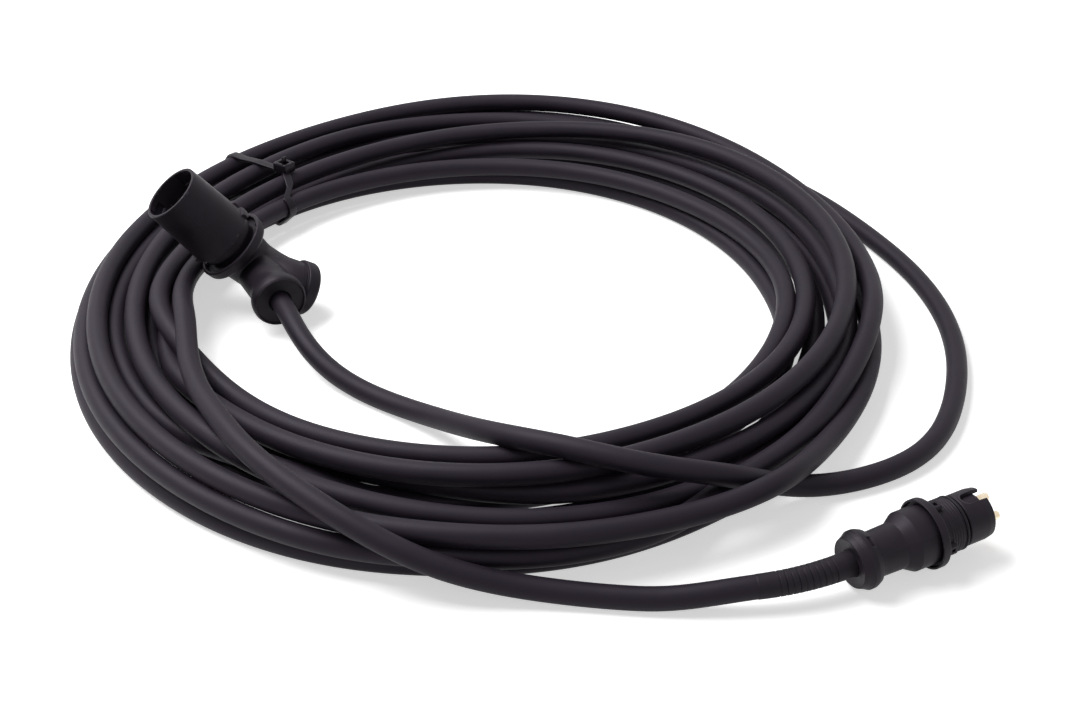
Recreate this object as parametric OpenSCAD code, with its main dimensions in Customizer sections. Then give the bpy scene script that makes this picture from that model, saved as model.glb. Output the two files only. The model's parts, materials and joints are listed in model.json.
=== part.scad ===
// Low-voltage extension lead: one round cord in a loose coil, a three-way coupler socket with
// a turning bayonet sleeve on its first end, and a four-pin bayonet plug on its second.
// Millimetres, +Z up. The origin is the coil's centre, on the floor. The coupler leans on the
// coil's left side (-X) and the plug lies in front of it (-Y).

/* [Cord and coil] */
// Diameter of the cord's sheath
cord_d = 8; // [7.6:0.1:8.2]
// Inner radius of the coil
coil_inner_r = 118; // [112:1:124]
// Turns side by side in the coil's lowest layer
coil_lanes = 5; // [4:1:6]
// Layers of turns in the coil
coil_layers = 3; // [2:1:4]
// Distance between neighbouring turns of a layer
lane_pitch = 9.5; // [8.6:0.1:10.5]
// Height from one layer to the next
layer_rise = 6.8; // [6:0.1:8]

/* [Cable tie] */
// Direction of the tie round the coil, from +X
tie_angle = 138; // [120:1:150]
// Width of the strap
tie_w = 4.6; // [3.6:0.1:5.2]
// Thickness of the strap
tie_t = 1.2; // [1:0.1:1.6]
// Width of the locking head
tie_head_w = 7.2; // [6.6:0.1:8.4]
// Length of the locking head along the strap
tie_head_l = 6.4; // [5.6:0.1:7.5]
// Height of the locking head
tie_head_h = 5; // [4.4:0.1:6]
// Length of the cut end past the head
tie_end_l = 13; // [8:1:16]

/* [Coupler place] */
// Sideways place of the flange's centre
coupler_x = -103; // [-106:1:-100]
// Front-to-back place of the flange's centre
coupler_y = 9; // [6:1:12]
// Lean of the coupler's axis from upright
coupler_tilt = 38; // [36:1:40]
// Direction that the coupler leans toward, from +X
coupler_turn = -162; // [-168:1:-156]

/* [Coupler housing] */
// Radius of the flange behind the sleeve
flange_r = 15; // [14.8:0.1:16]
// Thickness of the flange
flange_t = 3.4; // [2.6:0.1:4]
// Height of the hub that the sleeve turns on
hub_h = 8; // [7.5:0.1:9]
// Depth of the arms' meeting point below the flange's face
joint_depth = 14; // [13:0.5:16]
// Radius of the ball where the arms meet
joint_r = 9; // [8.6:0.1:9.6]
// Radius of the neck under the flange
neck_r = 10.2; // [9.8:0.1:11]
// Radius of the hollow inside the neck
cavity_r = 6.6; // [6.3:0.1:6.9]
// Width of a stop block on the flange, in degrees
stop_width = 8; // [5:1:10]
// Height of a stop block
stop_h = 1.9; // [1.4:0.1:1.9]
// Radial width of the stop blocks
stop_band = 2; // [1.6:0.1:2.4]

/* [Coupler arms] */
// Radius of an arm's waist
arm_waist_r = 7.8; // [7.2:0.1:8.2]
// Radius of the cup at an arm's end
cup_r = 10.4; // [10:0.1:11]
// Length of the cup's straight rim
cup_rim = 3.6; // [2.8:0.1:4.4]
// Length of the flare from the waist to the cup
cup_flare = 3.9; // [3:0.1:5]
// Radius of the wide recess in a cup
recess_r = 8.9; // [8.4:0.1:9.2]
// Depth of the wide recess
recess_depth = 5; // [4:0.1:6]
// Radius of the seal pocket below the recess
pocket_r = 6.4; // [6:0.1:7]
// Depth of the seal pocket
pocket_depth = 4; // [3.4:0.1:4.5]
// Length of the branch arm that holds the cord
branch_length = 32; // [30:0.5:34]
// Angle of the branch arm from the coupler's axis
branch_polar = 97; // [94:1:100]
// Direction of the branch arm round the coupler's axis
branch_azimuth = 96; // [92:1:100]
// Length of the blanked tail arm
tail_length = 21.5; // [20.5:0.5:24]
// Angle of the tail arm from the coupler's axis
tail_polar = 135; // [132:1:138]
// Direction of the tail arm round the coupler's axis
tail_azimuth = 130; // [126:1:134]

/* [Coupling sleeve] */
// Length of the sleeve
sleeve_length = 32.4; // [31:0.1:34]
// Bore of the sleeve
sleeve_bore_r = 10.8; // [10.6:0.1:11]
// Radius of the relief in the bore, round the contact block
sleeve_relief_r = 11.1; // [11:0.05:11.3]
// Outer radius at the mouth
sleeve_mouth_r = 12.3; // [12.2:0.1:12.8]
// Outer radius at the base
sleeve_base_r = 13.3; // [13:0.1:13.8]
// Outer radius of the base ears
ear_r = 14.8; // [14.4:0.1:15.2]
// Height of the base ears
ear_h = 2.7; // [2:0.1:3.4]
// Width of a base ear, in degrees
ear_width = 26; // [20:1:34]
// Width of a stop tooth under an ear, in degrees
tooth_width = 12; // [9:1:15]
// Turn of the sleeve from open to locked, in degrees
sleeve_travel = 45; // [38:1:50]
// Width of a lug's entry slot, in degrees
slot_width = 20; // [19:1:24]
// Depth of a lug's slot from the mouth
slot_depth = 6.6; // [6.2:0.1:7]
// Height of the locking leg of a slot
slot_leg_h = 3.8; // [3.6:0.1:4.2]
// Depth of the slots into the wall
slot_cut = 0.7; // [0.5:0.05:0.8]

/* [Coupler contacts] */
// Radius of the contact block
insert_r = 7.1; // [6.95:0.05:7.15]
// Height of the contact block above the flange's face
insert_h = 22.9; // [21:0.1:23]
// Depth of the contact block below the flange's face
insert_root = 6; // [5:0.1:7]
// Radius of the circle that the contacts stand on
contact_circle_r = 4.8; // [4.7:0.05:4.85]
// Outer radius of a contact tube
contact_r = 1.95; // [1.85:0.05:2.05]
// Wall of the face seal on the hub
face_seal_h = 2.3; // [1.6:0.1:2.8]

/* [Plug place] */
// Sideways place of the plug's rear rim
plug_x = 121; // [119:1:123]
// Front-to-back place of the plug's rear rim
plug_y = -170; // [-172:1:-168]
// Direction that the plug points in, from +X
plug_turn = 26; // [24:1:28]

/* [Plug shell] */
// Radius of the rear collar
collar_r = 10.1; // [9.8:0.1:10.6]
// Length of the collar's straight rim
collar_rim = 3.6; // [2.8:0.1:4.4]
// Length of the collar's taper down to the waist
collar_taper = 3.9; // [3:0.1:5]
// Radius of the waist
waist_r = 7.7; // [7.5:0.1:8.2]
// Distance of the barrel's shoulder from the rear rim
shoulder_z = 22.7; // [21:0.1:24]
// Length of the flare from the waist to the shoulder
shoulder_flare = 3.9; // [3:0.1:5]
// Radius of the barrel
barrel_r = 10.2; // [10:0.1:10.5]
// Distance of the shell's front end from the rear rim
shell_length = 33; // [32:0.5:34]
// Radius of the seat for the lug ring
seat_r = 9.3; // [9.2:0.05:9.5]
// Radius of the hollow for the cores
shell_hollow_r = 6.2; // [6:0.05:6.6]
// Radius of the rear recess at its rim
shell_recess_r = 8.8; // [8.4:0.1:9]
// Depth of the rear recess
shell_recess_depth = 9; // [8:0.5:10]

/* [Plug nose] */
// Radius of the lined band behind the seal
band_r = 9.3; // [9.2:0.05:9.5]
// Length of the lined band
band_length = 7.6; // [7:0.1:8.6]
// Count of fine lines round the band
line_count = 6; // [4:1:7]
// Radius of the shroud's outside
nose_r = 8.8; // [8.7:0.05:8.9]
// Length of the shroud past the seal groove
nose_length = 10; // [9:0.1:11]
// Bore of the shroud
shroud_bore_r = 7.3; // [7.25:0.05:7.4]
// Depth of the shroud's bore from its rim
shroud_depth = 11.9; // [11.7:0.1:12.5]
// Width of the key slot in the shroud
key_w = 4.8; // [4:0.1:5.4]
// Length of the spigot that holds the nose in the shell
spigot_length = 8; // [6:0.5:9]
// Radius of the spigot
spigot_r = 8.4; // [8.3:0.05:8.5]
// Width of the seal groove
groove_w = 2.3; // [2:0.1:2.6]
// Radius at the bottom of the seal groove
groove_r = 8; // [7.9:0.05:8.1]

/* [Lug ring] */
// Outer radius of the ring
ring_r = 12; // [11.8:0.1:12.4]
// Length of the ring
ring_length = 3.7; // [3.2:0.1:4.4]
// Thickness of the ring's web
web_t = 1.5; // [1.2:0.1:1.8]
// Radius inside the ring's skirt
skirt_bore_r = 11; // [10.8:0.1:11.2]
// Side of a bayonet lug
lug_w = 3.4; // [3:0.1:3.6]
// Outer radius of the lugs
lug_r = 11.2; // [11.1:0.05:11.3]
// Side of the square hole in a lug
lug_hole = 1.5; // [1.2:0.1:1.8]

/* [Pins] */
// Radius of a pin
pin_r = 1.5; // [1.4:0.02:1.5]
// Reach of the pins past the shroud's rim
pin_reach = 1.5; // [1:0.1:2]
// Chamfer on a pin's tip
pin_chamfer = 0.5; // [0.3:0.1:0.7]

/* [Strain relief] */
// Length of the boot behind the plug's rear rim
boot_length = 32; // [28:1:36]
// Radius of the boot at its tip
boot_tip_r = 4.55; // [4.5:0.05:4.8]
// Radius of the boot at its root
boot_root_r = 5; // [4.9:0.05:5.4]
// Count of segments along the boot
boot_segments = 8; // [6:1:10]
// Bend of the boot over its length, in degrees
boot_bend = 20; // [18:1:22]
// Depth of the grooves between the segments
boot_groove = 0.25; // [0.2:0.01:0.3]

/* [Fits] */
// Radial play of the sleeve on its hub
sleeve_play = 0.06; // [0.04:0.01:0.09]
// Gap between pieces that are assembled by hand
assembly_gap = 0.05; // [0.03:0.01:0.08]
// Gap between the sleeve and what it passes
travel_gap = 0.35; // [0.3:0.01:0.5]

/* [Hidden] */
$fn = 48;
over = 0.5;
quarter = 90;
third = 120;

sheath_tint = "#3a3839";
shell_tint = "#2c2b2d";
rubber_tint = "#1f1f20";
block_tint = "#46454a";
brass_tint = "#c9a24b";
core_tint = "#8d3b2f";
tie_tint = "#242426";

// Points measured along one piece are turned into the shared frame by these two rotations,
// the same ones that rotate([0, tilt, turn]) makes.
function tilted(v, a) = [v.x * cos(a) + v.z * sin(a), v.y, v.z * cos(a) - v.x * sin(a)];
function turned(v, a) = [v.x * cos(a) - v.y * sin(a), v.x * sin(a) + v.y * cos(a), v.z];
function spun(v, tilt, turn) = turned(tilted(v, tilt), turn);

// Coupler: the tail cup's rim rests on the floor, which sets the height of the flange.
function arm_point(polar, azimuth, s) = [0, 0, -joint_depth] + spun([0, 0, s], polar, azimuth);
function lean(v) = spun(v, coupler_tilt, coupler_turn);
tail_way = lean(spun([0, 0, 1], tail_polar, tail_azimuth));
tail_tip = lean(arm_point(tail_polar, tail_azimuth, tail_length));
coupler_z = cup_r * sqrt(1 - pow(tail_way.z, 2)) - tail_tip.z;
coupler_at = [coupler_x, coupler_y, coupler_z];
function branch_point(s) = coupler_at + lean(arm_point(branch_polar, branch_azimuth, s));

hub_r = sleeve_bore_r - sleeve_play;
sleeve_foot_z = stop_h + travel_gap;
sleeve_mouth_z = sleeve_foot_z + sleeve_length;
tooth_z = travel_gap;
relief_past = 0.6;
stop_in_r = flange_r - stop_band - assembly_gap;
stop_out_r = flange_r - assembly_gap;
stop_play = travel_gap / stop_out_r * 180 / PI * 1.5;
snap_z = sleeve_foot_z + ear_h;
snap_t = 0.8;
snap_in_r = hub_r - 0.95;
snap_out_r = sleeve_bore_r + 0.5;
snap_open = 36;
contact_tail_r = 1.3;
contact_tail_l = 3;
wire_gap = 0.8;
line_w = 0.18;
contact_bore_r = pin_r + 0.02;
contact_bore_l = 16;
key_gap = 0.25;
key_r = nose_r - key_gap;
seal_wall = 0.35;
cord_bore_r = cord_d / 2 + assembly_gap;
core_r = 0.9;
core_circle_r = 2;
cord_end_s = 12;
washer_t = 1;
gland_z = branch_length - recess_depth - pocket_depth;
blank_z = tail_length - recess_depth - pocket_depth;
blank_head_r = recess_r - 1;
blank_head_t = 2.2;
blank_seal_t = 1;
blank_slot_w = 1.6;
blank_slot_l = 9;
blank_slot_depth = 1;

// Plug: the collar and the lug ring both rest on the floor, which sets its tilt and height.
ring_z = shell_length - ring_length;
plug_tilt = atan((ring_r - collar_r) / ring_z);
plug_z = collar_r * cos(plug_tilt);
plug_at = [plug_x, plug_y, plug_z];
function plug_point(v) = plug_at + spun(v, quarter - plug_tilt, plug_turn);

groove_z = shell_length + band_length;
nose_z = groove_z + groove_w;
rim_z = nose_z + nose_length;
block_face_z = rim_z - shroud_depth;
block_length = 11;
nose_tip_r = nose_r - 0.4;
o_ring_r = 0.5;
pin_root_z = block_face_z - block_length - 3;
cord_stop_z = 14;
cord_seal_z = shell_recess_depth;
cord_seal_l = cord_stop_z - cord_seal_z - 1;
boot_flange_t = 3;
boot_pitch = boot_length / boot_segments;
boot_rib = boot_pitch * 0.68;

// The boot bends sideways along an arc behind the rear rim. Its place and its way at the
// distance s behind the rim; s is negative inside the shell, where the boot is straight.
boot_arc_r = boot_length / boot_bend * 180 / PI;
function boot_turn(s) = boot_bend * max(s, 0) / boot_length;
function boot_spot(s) = plug_point([
    0, boot_arc_r * (1 - cos(boot_turn(s))), -boot_arc_r * sin(boot_turn(s)) - min(s, 0)
]);
function boot_way(s) = plug_point([0, -sin(boot_turn(s)), cos(boot_turn(s))]) - plug_at;

// Coil: lane i of layer j, its radius and its height.
function lane_r(i, j) = coil_inner_r + cord_d / 2 + lane_pitch * (i + j / 2);
function lane_z(j) = cord_d / 2 + layer_rise * j;
top_layer = coil_layers - 1;

// The cord's free stretches, point by point, from the coupler to the coil and from the coil
// to the plug.
socket_run = concat(
    [for (s = [cord_end_s, gland_z, branch_length]) branch_point(s)],
    [
        [-74, -30, 13.5], [-68, -41, 10.5], [-61, -50, 7.5], [-52, -58, 5], [-40, -66, 4],
        [-30, -72, 4], [-22, -79, 5.5], [-14, -88, 9], [-6, -98, 13.5], [2, -108, 18],
        [11, -118, 22.5], [21, -126, 25.5], [36, -132, 26], [52, -137, 26], [66, -139, 24],
        [82, -136, 19], [98, -130, 12.5], [114, -124, 7], [128, -119.5, 4.5], [143, -114, 4],
        [158, -103, 4], [169, -88, 4], [176, -70, 4], [182, -52, 4], [185.5, -33, 4],
        [186, -14, 4], [184.5, 6, 4], [180, 26, 4], [173.5, 45, 4], [165, 63, 4],
        [156, 81, 4], [145, 99, 4], [130, 115.5, 4], [110, 133, 4], [90, 143.5, 4], [70, 148, 4]
    ]
);
plug_run = concat(
    [
        [-124, 24, 16], [-120.5, 0, 18], [-116.7, -31.3, 20], [-109.4, -63.2, 22.5],
        [-96.2, -96.2, 25], [-75.8, -131.2, 26.3], [-58, -149.5, 26], [-43.2, -161.3, 23.4],
        [-23.9, -170.2, 17.5], [-7, -173.6, 11.5], [14, -175.5, 6.5], [30, -177, 4.5],
        [46, -179, 4], [62, -180.2, 4.5], [77, -180, 6.5]
    ],
    [for (k = [boot_segments:-1:0]) boot_spot(k * boot_pitch)],
    [for (z = [shell_recess_depth, cord_stop_z]) plug_point([0, 0, z])]
);
cord_sides = 10;
core_sides = 8;
boot_sides = 16;

// A swept solid is a list of rings, each with its centre, its way and its radius. A ring's
// corners are set out square to one fixed direction, so the sweep never twists.
function unit(v) = v / norm(v);
function corner(ring, a, square_to) =
    let (w = unit(ring[1]), side = unit(cross(square_to, w)), up = cross(w, side))
    ring[0] + ring[2] * (side * cos(a) + up * sin(a));
function path_rings(path, r) = [
    for (i = [0:len(path) - 1])
        [path[i], path[min(i + 1, len(path) - 1)] - path[max(i - 1, 0)], r]
];

// ---------------------------------------------------------------- shared shapes
module coupler_frame() translate(coupler_at) rotate([0, coupler_tilt, coupler_turn]) children();

module arm_frame(polar, azimuth)
    translate([0, 0, -joint_depth]) rotate([0, polar, azimuth]) children();

module plug_frame() translate(plug_at) rotate([0, quarter - plug_tilt, plug_turn]) children();

module hoop(r_in, r_out, z, h)
    translate([0, 0, z]) rotate_extrude() translate([r_in, 0]) square([r_out - r_in, h]);

// A sector of a hoop, centred on the direction a.
module sector(r_in, r_out, z, h, a, width)
    translate([0, 0, z]) rotate([0, 0, a - width / 2]) rotate_extrude(angle = width)
        translate([r_in, 0]) square([r_out - r_in, h]);

module around(count) for (k = [0:count - 1]) rotate([0, 0, 360 / count * k]) children();

module sweep(rings, sides, square_to = [0, 0, 1]) {
    count = len(rings);
    corners = [
        for (ring = rings) for (k = [0:sides - 1])
            corner(ring, 360 / sides * k - quarter, square_to)
    ];
    walls = [
        for (i = [0:count - 2]) for (k = [0:sides - 1])
            let (n = (k + 1) % sides, a = i * sides)
            [a + k, a + sides + k, a + sides + n, a + n]
    ];
    first = [for (k = [0:sides - 1]) k];
    last = [for (k = [1:sides]) count * sides - k];
    polyhedron(corners, concat([first], walls, [last]));
}

// ---------------------------------------------------------------- coupler
module arm_body(length) {
    rotate_extrude() polygon([
        [0, 0], [arm_waist_r, 0], [arm_waist_r, length - cup_rim - cup_flare],
        [cup_r, length - cup_rim], [cup_r, length], [0, length]
    ]);
}

module arm_bore(length) {
    pocket_z = length - recess_depth - pocket_depth;
    cylinder(r = cord_bore_r, h = length);
    translate([0, 0, pocket_z]) cylinder(r = pocket_r, h = length);
    translate([0, 0, length - recess_depth]) cylinder(r = recess_r, h = length);
}

module socket_housing() {
    color(shell_tint) coupler_frame() difference() {
        union() {
            translate([0, 0, -flange_t]) cylinder(r = flange_r, h = flange_t);
            cylinder(r = hub_r, h = hub_h);
            translate([0, 0, -joint_depth]) cylinder(r1 = joint_r, r2 = neck_r, h = joint_depth - flange_t);
            translate([0, 0, -joint_depth]) sphere(r = joint_r);
            arm_frame(branch_polar, branch_azimuth) arm_body(branch_length);
            arm_frame(tail_polar, tail_azimuth) arm_body(tail_length);
            around(3) {
                half = (tooth_width + stop_width) / 2 + stop_play;
                sector(stop_in_r, stop_out_r, 0, stop_h, -half, stop_width);
                sector(stop_in_r, stop_out_r, 0, stop_h, sleeve_travel + half, stop_width);
            }
        }
        hoop(snap_in_r - assembly_gap, flange_r, snap_z - assembly_gap, snap_t + 2 * assembly_gap);
        translate([0, 0, -insert_root]) cylinder(r = insert_r + assembly_gap, h = insert_root + hub_h + over);
        translate([0, 0, -joint_depth]) cylinder(r = cavity_r, h = joint_depth);
        translate([0, 0, -joint_depth]) sphere(r = cavity_r);
        arm_frame(branch_polar, branch_azimuth) arm_bore(branch_length);
        arm_frame(tail_polar, tail_azimuth) arm_bore(tail_length);
    }
}

module coupling_sleeve() {
    slot_z = sleeve_mouth_z - slot_depth;
    slot_r = sleeve_bore_r + slot_cut;
    color(shell_tint) coupler_frame() difference() {
        union() {
            rotate_extrude() polygon([
                [sleeve_bore_r, sleeve_foot_z], [sleeve_base_r, sleeve_foot_z],
                [sleeve_mouth_r, sleeve_mouth_z], [sleeve_bore_r, sleeve_mouth_z]
            ]);
            around(3) {
                sector(sleeve_mouth_r, ear_r, sleeve_foot_z, ear_h, 0, ear_width);
                sector(stop_in_r, ear_r, tooth_z, sleeve_foot_z - tooth_z, 0, tooth_width);
            }
        }
        hoop(sleeve_bore_r - over, snap_out_r + travel_gap, snap_z - travel_gap, snap_t + 2 * travel_gap);
        hoop(sleeve_bore_r - over, sleeve_relief_r, hub_h, insert_h + relief_past - hub_h);
        around(3) {
            sector(sleeve_bore_r - over, slot_r, slot_z, slot_depth + over, 0, slot_width);
            sector(sleeve_bore_r - over, slot_r, slot_z, slot_leg_h, -sleeve_travel / 2,
                sleeve_travel + slot_width);
        }
    }
}

module sleeve_snap_ring() {
    color("silver") coupler_frame()
        sector(snap_in_r, snap_out_r, snap_z, snap_t, 0, 360 - snap_open);
}

module contact_seats() around(4) translate([contact_circle_r, 0, 0]) children();

module socket_insert() {
    seat_z = hub_h + face_seal_h;
    color(block_tint) coupler_frame() difference() {
        union() {
            translate([0, 0, -insert_root]) cylinder(r = insert_r, h = insert_root + insert_h);
            translate([0, -key_w / 2 + key_gap, seat_z])
                cube([key_r, key_w - 2 * key_gap, insert_h - seat_z]);
        }
        contact_seats() translate([0, 0, -insert_root - over])
            cylinder(r = contact_r + assembly_gap, h = insert_root + insert_h + 2 * over);
    }
}

module socket_contacts() {
    color(brass_tint) coupler_frame() contact_seats() difference() {
        union() {
            translate([0, 0, -insert_root]) cylinder(r = contact_r, h = insert_root + insert_h);
            translate([0, 0, -insert_root - contact_tail_l]) cylinder(r = contact_tail_r, h = contact_tail_l);
        }
        translate([0, 0, insert_h - contact_bore_l]) cylinder(r = contact_bore_r, h = contact_bore_l + over);
    }
}

module socket_face_seal() {
    color(rubber_tint) coupler_frame()
        hoop(insert_r + assembly_gap, hub_r - seal_wall, hub_h, face_seal_h);
}

module branch_gland_seal() {
    color(rubber_tint) coupler_frame() arm_frame(branch_polar, branch_azimuth)
        hoop(cord_bore_r, pocket_r - assembly_gap, gland_z, pocket_depth - washer_t);
}

module branch_gland_washer() {
    color(block_tint) coupler_frame() arm_frame(branch_polar, branch_azimuth)
        hoop(cord_bore_r, pocket_r - assembly_gap, gland_z + pocket_depth - washer_t, washer_t);
}

module blanking_plug() {
    head_z = blank_z + pocket_depth;
    color(block_tint) coupler_frame() arm_frame(tail_polar, tail_azimuth) difference() {
        union() {
            translate([0, 0, blank_z + blank_seal_t])
                cylinder(r = pocket_r - assembly_gap, h = pocket_depth - blank_seal_t + blank_head_t);
            translate([0, 0, head_z]) cylinder(r = blank_head_r, h = blank_head_t);
        }
        translate([-blank_slot_w / 2, -blank_slot_l / 2, head_z + blank_head_t - blank_slot_depth])
            cube([blank_slot_w, blank_slot_l, blank_slot_depth + over]);
    }
}

module blanking_seal() {
    color(rubber_tint) coupler_frame() arm_frame(tail_polar, tail_azimuth)
        hoop(cord_bore_r, pocket_r - assembly_gap, blank_z, blank_seal_t);
}

module socket_wires() {
    root_z = -insert_root - contact_tail_l - wire_gap;
    bend_square = cross(lean([0, 0, 1]), branch_point(1) - branch_point(0));
    color(core_tint) for (k = [0:3]) {
        spot = turned([-core_circle_r, 0, 0], -quarter * k);
        near = lean(spun(spot, branch_polar, branch_azimuth));
        core = [
            coupler_at + lean(turned([contact_circle_r, 0, root_z], quarter * (k + 1))),
            branch_point(0) + near,
            branch_point(cord_end_s / 2) + near,
            branch_point(cord_end_s) + near
        ];
        sweep(path_rings(core, core_r), core_sides, bend_square);
    }
}

// ---------------------------------------------------------------- plug
module plug_shell() {
    color(shell_tint) plug_frame() rotate_extrude() polygon([
        [shell_recess_r, 0], [collar_r, 0], [collar_r, collar_rim],
        [waist_r, collar_rim + collar_taper], [waist_r, shoulder_z - shoulder_flare],
        [barrel_r, shoulder_z], [barrel_r, shell_length - web_t], [seat_r, shell_length - web_t],
        [seat_r, shell_length], [spigot_r + assembly_gap, shell_length],
        [spigot_r + assembly_gap, shell_length - spigot_length],
        [shell_hollow_r, shell_length - spigot_length], [shell_hollow_r, shell_recess_depth]
    ]);
}

module plug_nose() {
    spigot_z = shell_length - spigot_length;
    line_pitch = band_length / (line_count + 1);
    lines = [
        for (k = [1:line_count])
            let (z = shell_length + k * line_pitch)
            each [[band_r, z - line_w], [band_r - line_w, z], [band_r, z + line_w]]
    ];
    color(shell_tint) plug_frame() difference() {
        rotate_extrude() polygon(concat(
            [
                [shroud_bore_r, spigot_z], [spigot_r, spigot_z], [spigot_r, shell_length],
                [band_r, shell_length]
            ],
            lines,
            [
                [band_r, groove_z], [groove_r, groove_z], [groove_r, nose_z],
                [nose_r, nose_z], [nose_r, rim_z - nose_length / 4], [nose_tip_r, rim_z],
                [shroud_bore_r, rim_z]
            ]
        ));
        translate([-nose_r - over, -key_w / 2, nose_z + over])
            cube([nose_r + over, key_w, nose_length]);
    }
}

module plug_lug_ring() {
    web_z = shell_length - web_t;
    color(shell_tint) plug_frame() {
        difference() {
            hoop(seat_r + assembly_gap, ring_r, ring_z, ring_length);
            hoop(0, skirt_bore_r, ring_z - over, ring_length - web_t + over);
        }
        for (k = [0:2]) rotate([0, 0, 180 + third / 4 + third * k]) difference() {
            translate([band_r + assembly_gap, -lug_w / 2, shell_length])
                cube([lug_r - band_r - assembly_gap, lug_w, lug_w]);
            translate([band_r, -lug_hole / 2, shell_length + (lug_w - lug_hole) / 2])
                cube([lug_r, lug_hole, lug_hole]);
        }
    }
}

module plug_o_ring() {
    color(rubber_tint) plug_frame() translate([0, 0, (groove_z + nose_z) / 2])
        rotate_extrude() translate([groove_r + assembly_gap + o_ring_r, 0]) circle(r = o_ring_r);
}

module plug_insert() {
    color(block_tint) plug_frame() difference() {
        translate([0, 0, block_face_z - block_length])
            cylinder(r = shroud_bore_r - assembly_gap, h = block_length);
        contact_seats() translate([0, 0, block_face_z - block_length - over])
            cylinder(r = pin_r + assembly_gap, h = block_length + 2 * over);
    }
}

module plug_pins() {
    color(brass_tint) plug_frame() contact_seats() rotate_extrude() polygon([
        [0, pin_root_z], [pin_r, pin_root_z], [pin_r, rim_z + pin_reach - pin_chamfer],
        [pin_r - pin_chamfer, rim_z + pin_reach], [0, rim_z + pin_reach]
    ]);
}

module plug_wires() {
    color(core_tint) for (k = [0:3]) {
        core = [
            plug_point(turned([core_circle_r, 0, cord_stop_z + wire_gap], quarter * k)),
            plug_point(turned([contact_circle_r, 0, pin_root_z - wire_gap], quarter * k))
        ];
        sweep(path_rings(core, core_r), core_sides);
    }
}

module plug_cord_seal() {
    color(rubber_tint) plug_frame()
        hoop(cord_bore_r, shell_hollow_r - assembly_gap, cord_seal_z, cord_seal_l);
}

module strain_relief() {
    flange_r = shell_hollow_r - assembly_gap;
    outline = concat(
        [
            [-shell_recess_depth, flange_r], [boot_flange_t - shell_recess_depth, flange_r],
            [boot_flange_t - shell_recess_depth, boot_root_r]
        ],
        [
            for (k = [0:boot_segments - 1])
                let (r = boot_root_r + (boot_tip_r - boot_root_r) * k / (boot_segments - 1), s = k * boot_pitch)
                each [[s, r], [s + boot_rib, r], [s + boot_rib, r - boot_groove], [s + boot_pitch, r - boot_groove]]
        ]
    );
    bore_r = cord_bore_r / cos(180 / boot_sides);
    stations = [-shell_recess_depth - over, for (k = [0:boot_segments]) k * boot_pitch, boot_length + over];
    color(rubber_tint) difference() {
        sweep([for (o = outline) [boot_spot(o[0]), -boot_way(o[0]), o[1]]], boot_sides);
        sweep([for (s = stations) [boot_spot(s), -boot_way(s), bore_r]], boot_sides);
    }
}

// ---------------------------------------------------------------- cord
module coil_section() {
    for (j = [0:top_layer]) for (i = [0:coil_lanes - 1 - j])
        translate([lane_r(i, j), lane_z(j)]) circle(r = cord_d / 2);
    polygon([
        [lane_r(0, 0), 0], [lane_r(coil_lanes - 1, 0), 0],
        [lane_r(coil_lanes - 1, 0), lane_z(0)],
        [lane_r(coil_lanes - 1 - top_layer, top_layer), lane_z(top_layer)],
        [lane_r(0, top_layer), lane_z(top_layer)], [lane_r(0, 0), lane_z(0)]
    ]);
}

module cord_coil() color(sheath_tint) rotate_extrude($fn = 96) coil_section();

module cord_socket_run() color(sheath_tint) sweep(path_rings(socket_run, cord_d / 2), cord_sides);

module cord_plug_run() color(sheath_tint) sweep(path_rings(plug_run, cord_d / 2), cord_sides);

// The tie's outline: an arc about each corner turn of the coil's section, r out from its
// centre. The strap passes under the coil on the floor.
tie_corners = [
    [[lane_r(0, 0), lane_z(0) + tie_t], 180, 270],
    [[lane_r(coil_lanes - 1, 0), lane_z(0) + tie_t], 270, 390],
    [[lane_r(coil_lanes - 1 - top_layer, top_layer), lane_z(top_layer)], 30, 90],
    [[lane_r(0, top_layer), lane_z(top_layer)], 90, 160]
];
function tie_outline(r) = [
    for (c = tie_corners) for (a = [0:0.25:1])
        let (t = c[1] + (c[2] - c[1]) * a) c[0] + r * [cos(t), sin(t)]
];

module cable_tie() {
    top_z = lane_z(top_layer) + cord_d / 2 + tie_t;
    head_x = lane_r(0, top_layer);
    color(tie_tint) rotate([quarter, 0, tie_angle]) {
        linear_extrude(height = tie_w, center = true) difference() {
            polygon(tie_outline(cord_d / 2 + tie_t));
            polygon(tie_outline(cord_d / 2));
        }
        linear_extrude(height = tie_head_w, center = true)
            translate([head_x - tie_head_l / 2, top_z - tie_t / 2]) square([tie_head_l, tie_head_h]);
        linear_extrude(height = tie_w, center = true)
            translate([head_x - tie_head_l / 2, top_z + tie_head_h / 2]) rotate([0, 0, 215])
                square([tie_end_l, tie_t]);
    }
}

socket_housing();
coupling_sleeve();
sleeve_snap_ring();
socket_insert();
socket_contacts();
socket_face_seal();
branch_gland_seal();
branch_gland_washer();
blanking_plug();
blanking_seal();
socket_wires();
plug_shell();
plug_nose();
plug_lug_ring();
plug_o_ring();
plug_insert();
plug_pins();
plug_wires();
plug_cord_seal();
strain_relief();
cable_tie();
cord_socket_run();
cord_coil();
cord_plug_run();
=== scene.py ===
import json
import math

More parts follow.
